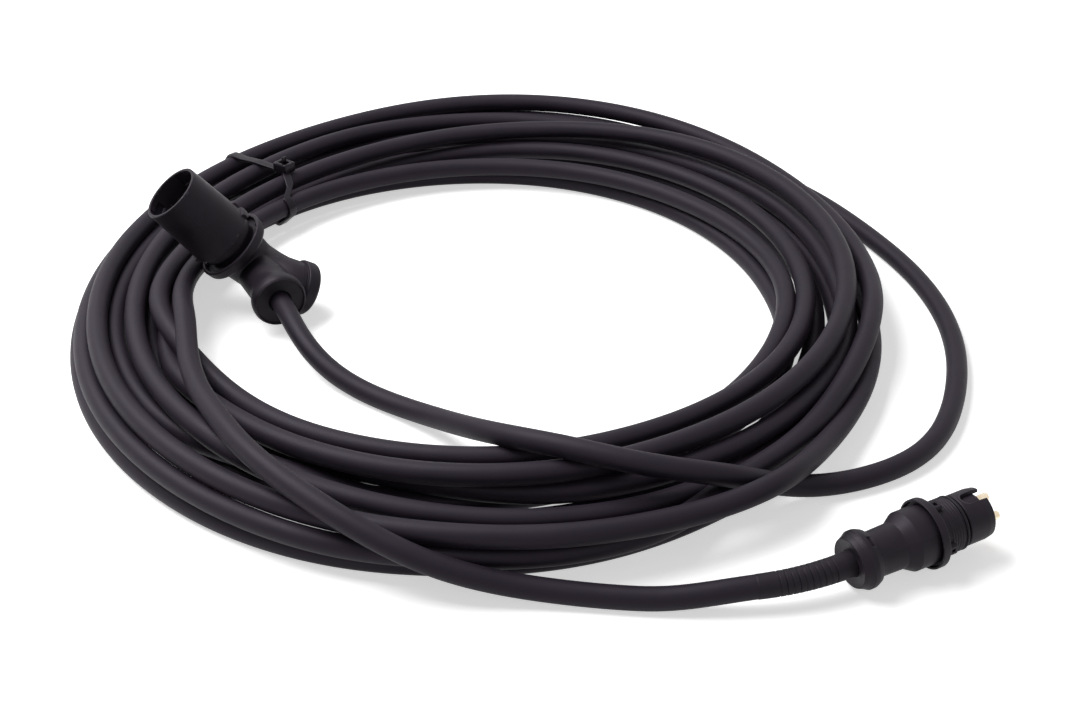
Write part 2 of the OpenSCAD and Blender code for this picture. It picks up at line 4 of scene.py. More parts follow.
import bpy
import numpy as np
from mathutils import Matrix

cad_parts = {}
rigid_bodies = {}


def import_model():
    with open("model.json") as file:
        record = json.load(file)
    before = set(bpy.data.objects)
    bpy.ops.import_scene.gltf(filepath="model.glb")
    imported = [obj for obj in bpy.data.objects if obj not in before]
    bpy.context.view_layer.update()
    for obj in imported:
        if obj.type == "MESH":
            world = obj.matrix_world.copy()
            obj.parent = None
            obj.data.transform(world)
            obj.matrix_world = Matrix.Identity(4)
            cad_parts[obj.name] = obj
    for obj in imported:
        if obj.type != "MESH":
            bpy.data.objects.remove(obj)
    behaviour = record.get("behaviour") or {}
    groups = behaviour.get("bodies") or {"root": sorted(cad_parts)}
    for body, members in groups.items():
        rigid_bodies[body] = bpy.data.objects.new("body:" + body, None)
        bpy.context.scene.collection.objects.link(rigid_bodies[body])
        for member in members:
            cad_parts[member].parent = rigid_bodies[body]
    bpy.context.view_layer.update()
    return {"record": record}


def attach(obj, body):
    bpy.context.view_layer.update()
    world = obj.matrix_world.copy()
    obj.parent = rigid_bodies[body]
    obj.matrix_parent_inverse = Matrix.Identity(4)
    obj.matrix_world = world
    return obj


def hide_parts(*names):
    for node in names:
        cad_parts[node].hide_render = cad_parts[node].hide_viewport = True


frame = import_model()
mm = 0.001


# Camera: above the front of the coil, looking down on it.
view = {"place": (0.0224, -0.5624, 0.3424), "pitch": 33, "lens": 53.33, "sensor": 36}
cameraData = bpy.data.cameras.new("camera")
cameraData.lens, cameraData.sensor_width = view["lens"], view["sensor"]
cameraData.clip_start, cameraData.clip_end = 0.01, 20
camera = bpy.data.objects.new("camera", cameraData)
camera.location = view["place"]
camera.rotation_euler = (math.radians(90 - view["pitch"]), 0, 0)
bpy.context.scene.collection.objects.link(camera)
bpy.context.scene.camera = camera
print("camera placed")


# Shared mesh tools.
def makeMesh(name, points, quads):
    # Points in metres and rows of four corners, written into a new smooth-shaded mesh.
    mesh = bpy.data.meshes.new(name)
    points, quads = np.asarray(points, float), np.asarray(quads, int)
    mesh.vertices.add(len(points))
    mesh.vertices.foreach_set("co", points.ravel())
    mesh.loops.add(quads.size)
    mesh.loops.foreach_set("vertex_index", quads.ravel())
    mesh.polygons.add(len(quads))
    mesh.polygons.foreach_set("loop_start", np.arange(len(quads)) * quads.shape[1])
    mesh.polygons.foreach_set("use_smooth", np.ones(len(quads), bool))
    mesh.update(calc_edges=True)
    thing = bpy.data.objects.new(name, mesh)
    bpy.context.scene.collection.objects.link(thing)
    return thing


def gridQuads(rows, columns, closedRows=False):
    # Quads of a rows by columns grid that closes round its columns, wound so that a tube
    # faces outward.
    row = np.arange(rows if closedRows else rows - 1)[:, None]
    column = np.arange(columns)[None, :]
    nextRow, nextColumn = (row + 1) % rows, (column + 1) % columns
    corners = [row * columns + column, row * columns + nextColumn,
               nextRow * columns + nextColumn, nextRow * columns + column]
    return np.stack(corners, axis=-1).reshape(-1, 4)


def walkAlong(line, nudge=0):
    # Distance walked along the line at each of its points. A nudge keeps doubled points apart.
    return np.concatenate([[0], np.cumsum(np.linalg.norm(np.diff(line, axis=0), axis=1) + nudge)])


def pointsAt(stops, line, walked):
    # The line's points at the given distances along it.
    return np.stack([np.interp(stops, walked, values) for values in line.T], axis=1)


def evenAngles(count):
    # Degrees of this many directions, evenly spread round a circle.
    return np.arange(count) * 360 / count


# The cord lies in ten and a half loose turns. Each row is one turn, from where the cord comes in
# at the coil's outside bottom to where it climbs out over the top. An entry is an angle in
# degrees, the strand's reach as the camera sees it against the plane at middle height, the
# height that it starts from before it settles, and how firmly it keeps its reach: 1 if not given,
# and little where other strands hide it. Lengths are in millimetres.
cord = {"radius": 4.0, "sides": 24, "step": 2.6, "stations": 24, "middleHeight": 14, "spacing": 8.02,
        "strapRoom": 1.2, "strapStation": 9, "firstStation": 4, "lastStation": 16, "climbStations": 5,
        # Settling: rounds, and how much of each pull is taken in a round.
        "settleRounds": 900, "pull": 0.12, "sink": 0.06, "even": 0.4, "part": 0.4, "partRounds": 5,
        # Easing: spacing of its points, rounds, pulls and their limit, how far another strand is
        # looked for, how many points along still count as the same strand, and how many are held
        # at each end, with a gentle start after them.
        "easeStep": 5, "easeRounds": 300, "iron": 0.1, "easePart": 0.15, "easeLimit": 0.5,
        "lookFor": 16, "sameStrand": 8, "heldFirst": 5, "heldLast": 16, "gentle": 6,
        # The cord is drawn thinner inside the boot, so that the boot's cuts don't reach it.
        "bootLength": 41, "bootSlack": 0.4}
coilTurns = [
    [(60, 150, 4, 0.3), (90, 152, 4, 0.2), (120, 148, 4, 0.2), (150, 148.5, 4, 0.2), (180, 155, 4, 0.6),
     (195, 158.8, 4), (210, 164.2, 4), (225, 169.5, 4), (240, 175.2, 4), (255, 177.3, 4), (270, 177, 4),
     (285, 177.2, 4), (300, 169.5, 4), (315, 163, 4), (330, 155.3, 4), (345, 150.3, 4, 0.8)],
    [(0, 149, 4, 0.5), (30, 142, 4, 0.3), (45, 145, 4, 0.3), (60, 158, 11, 0.5), (75, 162, 12.5),
     (90, 163, 12.5), (105, 159, 12, 0.8), (120, 156, 11, 0.5), (150, 155, 11, 0.5), (180, 156.5, 11),
     (195, 158, 11), (210, 161, 11), (225, 164, 11), (240, 167.7, 11), (255, 171.8, 10), (270, 171.5, 10),
     (285, 173, 9, 0.8), (300, 168, 9, 0.5), (315, 158, 7, 0.3), (330, 150, 13, 0.6), (345, 155, 19)],
    [(0, 155, 16, 0.8), (15, 156, 13.5, 0.8), (30, 157, 12, 0.8), (45, 168.7, 15), (60, 177, 18),
     (75, 183, 19.5), (90, 182.5, 19.5), (105, 175.5, 19), (120, 166.5, 18), (145, 159.5, 18),
     (180, 154.5, 18), (195, 152.3, 18), (210, 152.5, 18), (225, 154, 18), (240, 156.5, 18),
     (255, 159, 18), (270, 162, 18), (285, 166.5, 17), (300, 166.5, 15), (315, 162, 11),
     (330, 156, 11, 0.9), (345, 151.5, 10.5, 0.8)],
    [(0, 147.5, 7.5, 0.7), (45, 155, 11, 0.4), (60, 156, 12, 0.5), (75, 158.7, 13), (90, 162, 14),
     (105, 159.5, 15), (120, 152.7, 17), (135, 147.7, 18), (145, 145, 18), (180, 140, 18),
     (195, 137.5, 18), (210, 138, 18), (225, 140.5, 18), (240, 143.5, 18), (255, 147.5, 17),
     (270, 153.5, 14), (285, 157, 11), (300, 157, 9), (330, 152, 5, 0.8), (345, 143, 5, 0.4)],
    [(0, 133, 4, 0.4), (45, 135, 4, 0.2), (90, 132, 4, 0.2), (150, 135, 4, 0.3), (180, 140, 4, 0.3),
     (225, 148, 4, 0.4), (255, 150.5, 4, 0.6), (270, 153.5, 4, 0.6), (285, 155.5, 5, 0.8),
     (300, 151.5, 4, 0.6), (330, 138.5, 4, 0.6), (345, 131, 4, 0.8)],
    [(0, 132.5, 7), (15, 126.5, 5), (30, 125, 5, 0.8), (45, 121, 4, 0.7), (90, 118, 4, 0.3),
     (150, 128, 5, 0.2), (180, 132, 8, 0.4), (195, 131.5, 9, 0.9), (222, 131, 9, 0.9),
     (240, 132, 11, 0.9), (255, 133.5, 13), (270, 136, 13), (285, 141, 14), (300, 144.5, 15),
     (315, 145, 15), (330, 146.5, 15), (345, 149.5, 14)],
    [(0, 143, 11, 0.6), (15, 146.3, 11), (30, 145, 11), (45, 144, 11), (60, 142, 11, 0.9),
     (90, 140, 10, 0.3), (150, 145, 11, 0.4), (180, 147, 11), (210, 147, 11), (225, 150, 11, 0.8),
     (240, 142, 11, 0.3), (255, 143, 6, 0.2), (270, 141, 4, 0.4), (285, 138.5, 4, 0.6),
     (300, 134, 4, 0.5), (330, 128, 4, 0.6), (345, 126, 4, 0.8)],
    [(0, 116, 4), (15, 110, 4), (30, 105, 4), (60, 98, 4, 0.4), (90, 98, 4, 0.3), (120, 104, 5, 0.3),
     (150, 116, 7, 0.3), (180, 126, 11, 0.4), (210, 126, 13, 0.5), (225, 127, 15, 0.8), (240, 127, 17),
     (255, 127.5, 18), (270, 129.5, 19), (300, 129, 20), (315, 133, 21), (330, 137.5, 22),
     (345, 143, 23)],
    [(0, 149, 24), (15, 155, 24), (30, 158.5, 24), (45, 163.5, 23), (60, 161.5, 22), (75, 151.5, 20),
     (90, 146, 18), (105, 139.5, 17), (120, 131.5, 17), (135, 129, 17), (150, 127.5, 17),
     (180, 128.5, 18), (195, 127, 17), (210, 123.5, 15, 0.9), (225, 119.8, 14), (240, 119, 14),
     (255, 118, 15), (270, 118, 16), (285, 118.5, 17), (300, 119.5, 17), (315, 121, 16), (330, 126, 15),
     (345, 128, 15)],
    [(0, 128, 14), (15, 130, 14), (30, 132, 13), (60, 131.5, 12), (75, 130, 11, 0.9), (90, 126, 10, 0.6),
     (120, 112, 6, 0.3), (150, 116, 4, 0.3), (180, 124, 4, 0.3), (240, 132, 5, 0.3), (270, 126, 8, 0.3),
     (300, 126, 9, 0.3), (330, 125, 8, 0.3), (345, 127, 8, 0.5)],
    [(0, 124.5, 10), (15, 120.5, 11), (30, 114, 11), (45, 111, 11), (60, 110.5, 11), (90, 107, 11),
     (120, 109, 11), (150, 113.5, 13), (180, 117.5, 17), (195, 118.5, 20), (210, 120, 22.5),
     (225, 125, 25), (240, 137.5, 26.3)],
]
socketRun = [
    [-85.7, -6.15, 15.31], [-83, -11.46, 15.13], [-80.27, -16.83, 14.93], [-77, -23.5, 14.4],
    [-74, -30, 13.5], [-68, -41, 10.5], [-61, -50, 7.5], [-52, -58, 5], [-40, -66, 4],
    [-30, -72, 4], [-22, -79, 5.5], [-14, -88, 9], [-6, -98, 13.5], [2, -108, 18],
    [11, -118, 22.5], [21, -126, 25.5], [36, -132, 26], [52, -137, 26], [66, -139, 24],
    [82, -136, 19], [98, -130, 12.5], [114, -124, 7], [128, -119.5, 4.5], [143, -114, 4],
    [158, -103, 4], [169, -88, 4], [176, -70, 4], [182, -52, 4], [185.5, -33, 4],
    [186, -14, 4], [184.5, 6, 4], [180, 26, 4], [173.5, 45, 4], [165, 63, 4],
    [156, 81, 4], [145, 99, 4], [130, 115.5, 4], [110, 133, 4],
]
plugRun = [
    [-120.5, 0, 18], [-116.7, -31.3, 20], [-109.4, -63.2, 22.5], [-96.2, -96.2, 25],
    [-75.8, -131.2, 26.3], [-58, -149.5, 26], [-43.2, -161.3, 23.4], [-23.9, -170.2, 17.5],
    [-7, -173.6, 11.5], [14, -175.5, 6.5], [30, -177, 4.5], [46, -179, 4], [62, -180.2, 4.5],
    [77, -180, 6.5],
]


def settleCoil():
    # Rows are turns and columns are stations round the coil. Strands are drawn toward their
    # reach, sink, even out along the cord, and push apart to one cord width.
    turns, stations = len(coilTurns), cord["stations"]
    degrees = evenAngles(stations)
    angle = np.radians(degrees)
    columns = [np.array([(*entry, 1)[:4] for entry in turn]).T for turn in coilTurns]
    seen, start, hold = (np.array([np.interp(degrees, column[0], column[k]) for column in columns])
                         for k in (1, 2, 3))
    eye = np.array(camera.location) / mm

    def lean(reach, height):
        # How far outward a strand looks for each millimetre that it is higher.
        towardX = reach * np.cos(angle) - eye[0]
        towardY = reach * np.sin(angle) - eye[1]
        return (towardX * np.cos(angle) + towardY * np.sin(angle)) / (eye[2] - height)

    # The first turn starts and the last one ends part of the way round, and the last stations
    # are held where the cord climbs out to the plug.
    there = np.ones((turns, stations), bool)
    there[0, :cord["firstStation"]] = False
    there[-1, cord["lastStation"] + 1:] = False
    climb = np.array(plugRun[:cord["climbStations"]])
    climbReach = np.hypot(climb[:, 0], climb[:, 1])
    pinned = np.zeros_like(there)
    pinned[-1, cord["lastStation"] - len(climb) + 1:cord["lastStation"] + 1] = True

    height = start.copy()
    reach = seen.copy()
    for _ in range(4):
        reach = seen - (height - cord["middleHeight"]) * lean(reach, height)
    lowest = np.full((turns, stations), cord["radius"])
    lowest[:, cord["strapStation"]] += cord["strapRoom"]
    farAway = np.where(there[:, None] & there[None], 0, 1e3) + np.eye(turns)[..., None] * 1e3
    free = there.ravel().copy()
    free[1:-1] &= there.ravel()[:-2] & there.ravel()[2:]
    free[[0, -1]] = False
    for _ in range(cord["settleRounds"]):
        wanted = seen - (height - cord["middleHeight"]) * lean(reach, height)
        reach += cord["pull"] * hold * (wanted - reach)
        height += cord["pull"] * (start - height) - cord["sink"]
        for values in (reach, height):
            flat = values.ravel()
            even = flat.copy()
            even[1:-1] = (flat[:-2] + 2 * flat[1:-1] + flat[2:]) / 4
            flat[free] += cord["even"] * (even - flat)[free]
        for _ in range(cord["partRounds"]):
            across, up = reach[:, None] - reach[None], height[:, None] - height[None]
            gap = np.hypot(across, up) + farAway + 1e-6
            push = cord["part"] * np.clip(cord["spacing"] - gap, 0, None) / gap
            reach += (push * across).sum(1)
            height += (push * up).sum(1)
            height = np.maximum(height, lowest)
            reach[pinned], height[pinned] = climbReach, climb[:, 2]
    points = np.stack([reach * np.cos(angle), reach * np.sin(angle), height], -1).reshape(-1, 3)
    return points[there.ravel() & ~pinned.ravel()]


def smoothLine(points, step):
    # Cubic spline through the points, by distance along them: its second derivatives solve
    # one set of linear equations, and are zero at both ends. Resampled at an even step.
    points = np.asarray(points, float)
    along = walkAlong(points)
    gap = np.linalg.norm(np.diff(points, axis=0), axis=1)
    count = len(points)
    inner = np.arange(1, count - 1)
    matrix, right = np.eye(count), np.zeros((count, 3))
    matrix[inner, inner - 1] = gap[:-1]
    matrix[inner, inner] = 2 * (gap[:-1] + gap[1:])
    matrix[inner, inner + 1] = gap[1:]
    right[1:-1] = 6 * np.diff(np.diff(points, axis=0) / gap[:, None], axis=0)
    bend = np.linalg.solve(matrix, right)
    fine = np.linspace(0, along[-1], count * 60)
    cell = np.clip(np.searchsorted(along, fine, side="right") - 1, 0, count - 2)
    width = gap[cell][:, None]
    before = (fine - along[cell])[:, None]
    after = width - before
    line = (bend[cell] * after**3 + bend[cell + 1] * before**3) / (6 * width)
    line += (points[cell] / width - bend[cell] * width / 6) * after
    line += (points[cell + 1] / width - bend[cell + 1] * width / 6) * before
    walked = walkAlong(line)
    return pointsAt(np.linspace(0, walked[-1], max(2, int(walked[-1] / step)) + 1), line, walked)


def easeCord(line):
    # Irons out kinks, and parts the strands wherever two come closer than one cord width. The
    # ends, at the cup and in the boot, stay where they are.
    count = len(line)
    index = np.arange(count)
    loose = np.minimum(index - cord["heldFirst"], count - cord["heldLast"] - index) / cord["gentle"]
    loose = np.clip(loose, 0, 1)[:, None]
    near = ((line[:, None] - line[None])**2).sum(-1) < cord["lookFor"]**2
    first, second = np.nonzero(np.triu(near, cord["sameStrand"]))
    for _ in range(cord["easeRounds"]):
        bend = line[2:] - 2 * line[1:-1] + line[:-2]
        line[2:-2] -= cord["iron"] * loose[2:-2] * (bend[2:] - 2 * bend[1:-1] + bend[:-2])
        apart = line[first] - line[second]
        gap = np.linalg.norm(apart, axis=1)
        push = apart * (cord["easePart"] * np.clip(cord["spacing"] - gap, 0, None) / gap)[:, None]
        shift = np.zeros_like(line)
        np.add.at(shift, first, push)
        np.add.at(shift, second, -push)
        line += loose * np.clip(shift, -cord["easeLimit"], cord["easeLimit"])
        line[:, 2] = np.maximum(line[:, 2], cord["radius"])
    apart = np.linalg.norm(line[first] - line[second], axis=1)
    print("cord eased, closest strands:", apart.min().round(2))
    return line


def tubeFrames(line):
    # Two directions square to the line at each point, that don't twist along it.
    along = np.gradient(line, axis=0)
    along /= np.linalg.norm(along, axis=1)[:, None]
    side = np.zeros_like(along)
    start = np.cross(along[0], (0, 0, 1))
    side[0] = start / np.linalg.norm(start)
    for i in range(1, len(line)):
        turned = side[i - 1] - along[i] * (side[i - 1] @ along[i])
        side[i] = turned / np.linalg.norm(turned)
    return side, np.cross(along, side)


def tubeSolid(line, side, up, radii, sides):
    # A circle of the given radius round each point of the line. One more circle at each end
    # shrinks to almost nothing and closes it.
    line, side, up = (np.concatenate([rows[:1], rows, rows[-1:]]) for rows in (line, side, up))
    radii = np.concatenate([[0.01], radii, [0.01]])
    turn = np.radians(evenAngles(sides))[None, :, None]
    circle = np.cos(turn) * side[:, None] + np.sin(turn) * up[:, None]
    points = line[:, None] + circle * radii[:, None, None]
    return points.reshape(-1, 3), gridQuads(len(line), sides)


# The plug's frame: where its collar stands, which way it points, the sideways bend of its boot
# and the places along the boot and in the shell that the cord passes.
plug = {"at": (121, -170, 10.0788), "tilt": 90 - 3.7102, "heading": 26, "bootBend": 91.67,
        "behind": (32, 26, 20, 14, 8, 0), "inside": (6, 12)}


def aimMatrix(heading, tilt):
    # Leans the Z axis toward X by the tilt, then turns it round Z by the heading, in degrees.
    c, s = math.cos(math.radians(heading)), math.sin(math.radians(heading))
    up, out = math.cos(math.radians(tilt)), math.sin(math.radians(tilt))
    return np.array([[c, -s, 0], [s, c, 0], [0, 0, 1]]) @ [[up, 0, out], [0, 1, 0], [-out, 0, up]]


plugTurn = aimMatrix(plug["heading"], plug["tilt"])


def plugPlace(points):
    # From the plug's own axes, with Z toward its pins, to where it lies.
    return np.asarray(points, float) @ plugTurn.T + plug["at"]


def bootCentre(s):
    # The boot's centreline, s millimetres behind the collar: an arc that bends sideways.
    turn = np.asarray(s, float) / plug["bootBend"]
    return np.stack([0 * turn, plug["bootBend"] * (1 - np.cos(turn)), -plug["bootBend"] * np.sin(turn)], -1)


bootPoints = plugPlace(bootCentre(plug["behind"]))
plugPoints = plugPlace([(0, 0, depth) for depth in plug["inside"]])
route = np.concatenate([socketRun, settleCoil(), plugRun, bootPoints, plugPoints])
cordLine = smoothLine(easeCord(smoothLine(route, cord["easeStep"])), cord["step"])
cordLine[:, 2] = np.maximum(cordLine[:, 2], cord["radius"])
cordWalked = walkAlong(cordLine)
cordRadii = np.interp(cordWalked[-1] - cordWalked, [cord["bootLength"], cord["bootLength"] + 2],
                      [cord["radius"] - cord["bootSlack"], cord["radius"]])
cordSolid = tubeSolid(cordLine, *tubeFrames(cordLine), cordRadii, cord["sides"])
cordPiece = makeMesh("cord", cordSolid[0] * mm, cordSolid[1])
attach(cordPiece, "lead")
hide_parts("cord_coil", "cord_socket_run", "cord_plug_run")


# Materials. Pattern sizes are real millimetres, turned to noise scales in Object coordinates.
def linear(hexColour):
    # sRGB hex to the linear colour that the shader takes.
    parts = [int(hexColour[i:i + 2], 16) / 255 for i in (1, 3, 5)]
    return tuple(p / 12.92 if p <= 0.04045 else ((p + 0.055) / 1.055) ** 2.4 for p in parts) + (1,)


def addNode(tree, kind, inputs=(), give=0, **settings):
    # One shader node with its settings, then each input either joined to a socket or set. Hands
    # back the output that others join to.
    node = tree.nodes.new("ShaderNode" + kind)
    for key, value in settings.items():
        setattr(node, key, value)
    for key, value in dict(inputs).items():
        if isinstance(value, bpy.types.NodeSocket):
            tree.links.new(value, node.inputs[key])
        else:
            node.inputs[key].default_value = value
    return node.outputs[give] if node.outputs else None


def emptyTree(owner):
    owner.use_nodes = True
    owner.node_tree.nodes.clear()
    return owner.node_tree


def finishMaterial(name, tones, patch, grain, depth, rough, wave=0.0, waveSize=6.0, metal=0.0,
                   sheen=0.0, gloss=0.19, tint="#f3eaf8", edgeWearAndHighlight=None, edgeWearAndHighlightTone="#5a565c"):
    # A solid finish: two close tones in soft patches, fine grain and broad waviness in the
    # bump, roughness that varies with the same patches, and if wanted paler sharp edges,
    # partly rubbed wear and partly a painted highlight.
    # Patch, grain and wave sizes and both bump depths are in millimetres.
    material = bpy.data.materials.new(name)
    tree = emptyTree(material)
    coords = addNode(tree, "TexCoord", give="Object")
    patches, fine = (addNode(tree, "TexNoise", {
        "Vector": coords, "Scale": 1 / (size * mm), "Detail": detail, "Roughness": steps})
        for size, detail, steps in ((patch, 3.0, 0.5), (grain, 2.0, 0.6)))
    share = addNode(tree, "MapRange", {"Value": patches, "From Min": 0.35, "From Max": 0.65})
    colour = addNode(tree, "Mix", {0: share, 6: linear(tones[0]), 7: linear(tones[1])}, 2, data_type="RGBA")
    if edgeWearAndHighlight:
        # Paler sharp edges, partly rubbed wear and partly a painted highlight: from where the
        # surface starts to be sharp, to where it is sharpest.
        pointy = addNode(tree, "NewGeometry", give="Pointiness")
        wornAndLit = addNode(tree, "MapRange", {"Value": pointy, "From Min": edgeWearAndHighlight[0], "From Max": edgeWearAndHighlight[1],
                                            "To Max": edgeWearAndHighlight[2]})
        colour = addNode(tree, "Mix", {0: wornAndLit, 6: colour, 7: linear(edgeWearAndHighlightTone)}, 2, data_type="RGBA")
    bump = addNode(tree, "Bump", {"Height": fine, "Distance": depth * mm, "Strength": 1.0})
    if wave:
        broad = addNode(tree, "TexNoise", {"Vector": coords, "Scale": 1 / (waveSize * mm), "Detail": 1.0})
        bump = addNode(tree, "Bump", {"Height": broad, "Distance": wave * mm, "Strength": 1.0,
                                      "Normal": bump})
    mixed = addNode(tree, "Math", {0: patches, 1: fine}, operation="ADD")
    dulled = addNode(tree, "MapRange", {"Value": mixed, "From Min": 0.7, "From Max": 1.3,
                                        "To Min": rough[0], "To Max": rough[1]})
    shader = addNode(tree, "BsdfPrincipled", {
        "Base Color": colour, "Roughness": dulled, "Metallic": metal, "IOR": 1.5, "Normal": bump,
        "Specular IOR Level": gloss, "Specular Tint": linear(tint), "Sheen Weight": sheen,
        "Sheen Roughness": 0.4})
    addNode(tree, "OutputMaterial", {"Surface": shader})
    return material


bareMetal = {"metal": 1.0, "gloss": 0.5, "tint": "#ffffff"}
materials = {
    # Soft black sheath: warm near-black, dull, with a wide faint highlight along the top.
    "cord_sheath": finishMaterial(
        "soft_pvc_sheath", ("#1c171f", "#231d26"), patch=24, grain=0.5, depth=0.03, rough=(0.5, 0.62),
        wave=0.25, waveSize=14),
    # Moulded nylon shell: fine matt grain, with paler edges that are partly rubbed and partly a
    # painted highlight.
    "connector_shell": finishMaterial(
        "moulded_nylon", ("#18141a", "#1f1a21"), patch=9, grain=0.35, depth=0.035, rough=(0.42, 0.54),
        wave=0.05, waveSize=5, edgeWearAndHighlight=(0.53, 0.62, 0.32)),
    # Moulded insulator: smoother and a little greyer than the shell, with paler edges that are
    # partly rubbed and partly a painted highlight.
    "contact_block": finishMaterial(
        "moulded_insulator", ("#151417", "#1c1b1e"), patch=5, grain=0.3, depth=0.02, rough=(0.38, 0.5),
        edgeWearAndHighlight=(0.53, 0.62, 0.3)),
    # Turned brass: warm metal with fine tarnish.
    "contact_brass": finishMaterial(
        "turned_brass", ("#dccbb0", "#f0e3cd"), patch=2.5, grain=0.15, depth=0.006, rough=(0.18, 0.34),
        **bareMetal),
    # Moulded rubber seals: dark, matt, slightly dusty.
    "seal_rubber": finishMaterial(
        "seal_rubber", ("#0d0b0f", "#121014"), patch=4, grain=0.3, depth=0.03, rough=(0.45, 0.6), sheen=0.02),
    # Moulded rubber boot: softer black than the sheath, matt.
    "boot_rubber": finishMaterial(
        "boot_rubber", ("#171319", "#1d191f"), patch=6, grain=0.3, depth=0.03, rough=(0.5, 0.62), sheen=0.04),
    # Core insulation: smooth coloured plastic.
    "core_insulation": finishMaterial(
        "core_plastic", ("#73342c", "#8a4237"), patch=3, grain=0.4, depth=0.01, rough=(0.35, 0.45)),
    # Drawn spring steel: bright.
    "spring_steel": finishMaterial(
        "spring_steel", ("#8d8d90", "#a9a9ac"), patch=2, grain=0.12, depth=0.005, rough=(0.22, 0.35),
        **bareMetal),
    # Moulded nylon tie: black with the clearest highlights here.
    "tie_nylon": finishMaterial(
        "tie_nylon", ("#161218", "#1d191f"), patch=8, grain=0.5, depth=0.012, rough=(0.26, 0.36)),
}


def dress(thing, slotName):
    # The slot's material and no other.
    thing.data.materials.clear()
    thing.data.materials.append(materials[slotName])


dress(cordPiece, "cord_sheath")
for part in frame["record"]["subparts"]:
    if part["node"] in bpy.data.objects and not part["node"].startswith("cord_"):
        dress(bpy.data.objects[part["node"]], part["material_slot"])
print("materials made")


# Surfaces for the fittings. Lengths are in millimetres until a mesh is made.
def filletLoop(corners, step=1.2):
    # A closed outline from corners of (across, up, radius). Each corner becomes a quadratic
    # curve between the two places where it leaves its straight sides, and long straights are
    # cut up by the step.
    corners = np.asarray(corners, float)
    spots = corners[:, :2]
    back, onward = np.roll(spots, 1, 0) - spots, np.roll(spots, -1, 0) - spots
    backLength, onwardLength = (np.linalg.norm(way, axis=1)[:, None] for way in (back, onward))
    cut = np.minimum(corners[:, 2:], 0.48 * np.minimum(backLength, onwardLength))
    first, last = spots + back / backLength * cut, spots + onward / onwardLength * cut
    t = np.linspace(0, 1, 6)[None, :, None]
    curve = (1 - t)**2 * first[:, None] + 2 * t * (1 - t) * spots[:, None] + t**2 * last[:, None]
    loop = curve.reshape(-1, 2)
    loop = np.concatenate([loop, loop[:1]])
    walked = walkAlong(loop, 1e-9)
    stops = np.unique(np.concatenate([walked, np.arange(0, walked[-1], step)]).round(4))[:-1]
    return pointsAt(stops, loop, walked)


def window(value, centre, width, soft):
    # 1 inside a band of the given width, easing to 0 over the soft distance outside it.
    t = np.clip((width / 2 + soft - np.abs(value - centre)) / soft, 0, 1)
    return t * t * (3 - 2 * t)


def angleWindow(degrees, centre, width, soft):
    # The same for an angle, the short way round.
    return window((degrees - centre + 180) % 360 - 180, 0, width, soft)


def notch(value, centre, width):
    # 1 at the centre, falling straight to 0 at the width on both sides.
    return np.clip(1 - np.abs(value - centre) / width, 0, 1)


def squared(wave, power):
    # A sine or cosine with its size raised to a power, so that a circle fills out to a square.
    return np.sign(wave) * np.abs(wave)**power


def aroundAxis(across, up, degrees):
    # Radius and height for every row and angle, turned into points round the Z axis.
    turn = np.radians(degrees)
    across, up = np.broadcast_arrays(across, up + 0 * across)
    return np.stack([across * np.cos(turn), across * np.sin(turn), up], axis=-1)


def latheSolid(corners, sides=96):
    # The outline of a ring or disc carried round the Z axis: points and quads.
    loop = filletLoop(corners)
    degrees = evenAngles(sides)
    points = aroundAxis(loop[:, :1] + 0 * degrees, loop[:, 1:], degrees)
    return points.reshape(-1, 3), gridQuads(len(loop), sides, closedRows=True)


def shapedSolid(across, up, degrees, place):
    # A closed outline whose radius and height change with the angle, put in its place.
    points = place(aroundAxis(across, up, degrees).reshape(-1, 3))
    return points, gridQuads(len(across), len(degrees), closedRows=True)


def sectorSolid(rIn, rOut, low, high, start, end, edge=0.3, rows=14):
    # A block between two radii, two heights and two angles: its outline is carried from one
    # angle to the other, and shrinks to its middle at each end.
    loop = filletLoop([(rOut, low, edge), (rOut, high, edge), (rIn, high, edge), (rIn, low, edge)])
    middle = np.array([(rIn + rOut) / 2, (low + high) / 2])
    degrees = np.concatenate([[start], np.linspace(start, end, rows), [end]])[:, None]
    size = np.ones(rows + 2)
    size[[0, -1]] = 0.001
    flat = middle + (loop[None] - middle) * size[:, None, None]
    points = aroundAxis(flat[..., 0], flat[..., 1], degrees)
    return points.reshape(-1, 3), gridQuads(rows + 2, len(loop))[:, ::-1]


def joinSolids(solids):
    # Several grids as one list of points and one of quads.
    starts = np.cumsum([0] + [len(points) for points, _ in solids[:-1]])
    return (np.concatenate([points for points, _ in solids]),
            np.concatenate([quads + start for (_, quads), start in zip(solids, starts)]))


def makePiece(name, solid, slotName, nodes, sharp=None, body="lead"):
    # One finished piece: its mesh, its body, the CAD nodes that it stands for and its finish.
    thing = makeMesh(name, solid[0] * mm, solid[1])
    if sharp:
        thing.data.set_sharp_from_angle(angle=math.radians(sharp))
    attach(thing, body)
    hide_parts(*nodes)
    dress(thing, slotName)
    return thing


# The coupler's frame, and how far under the flange its arms meet.
coupler = {"at": (-103, 9, 26.98768), "tilt": 38, "heading": -162, "jointDepth": 14}
couplerTurn = aimMatrix(coupler["heading"], coupler["tilt"])


def couplerPlace(points):
    # From the coupler's own axes, with Z toward its mouth, to where it leans.
    return np.asarray(points, float) @ couplerTurn.T + coupler["at"]


# The arm that takes the cord: its direction, and its outline from the joint to the cup's lip.
arm = {"polar": 97, "azimuth": 96, "length": 31, "waist": 9, "cup": 11, "cupRim": 4.2, "cupFlare": 5.6,
       "lip": 10.4, "recess": 9.9, "recessDepth": 0.9, "hole": 6.2, "holeDepth": 5}


def armPlace(solid, forward=0):
    # Along the arm's axis: forward is where the solid's own zero stands, from the joint.
    local = (solid[0] + [0, 0, forward]) @ aimMatrix(arm["azimuth"], arm["polar"]).T
    return couplerPlace(local - [0, 0, coupler["jointDepth"]]), solid[1]


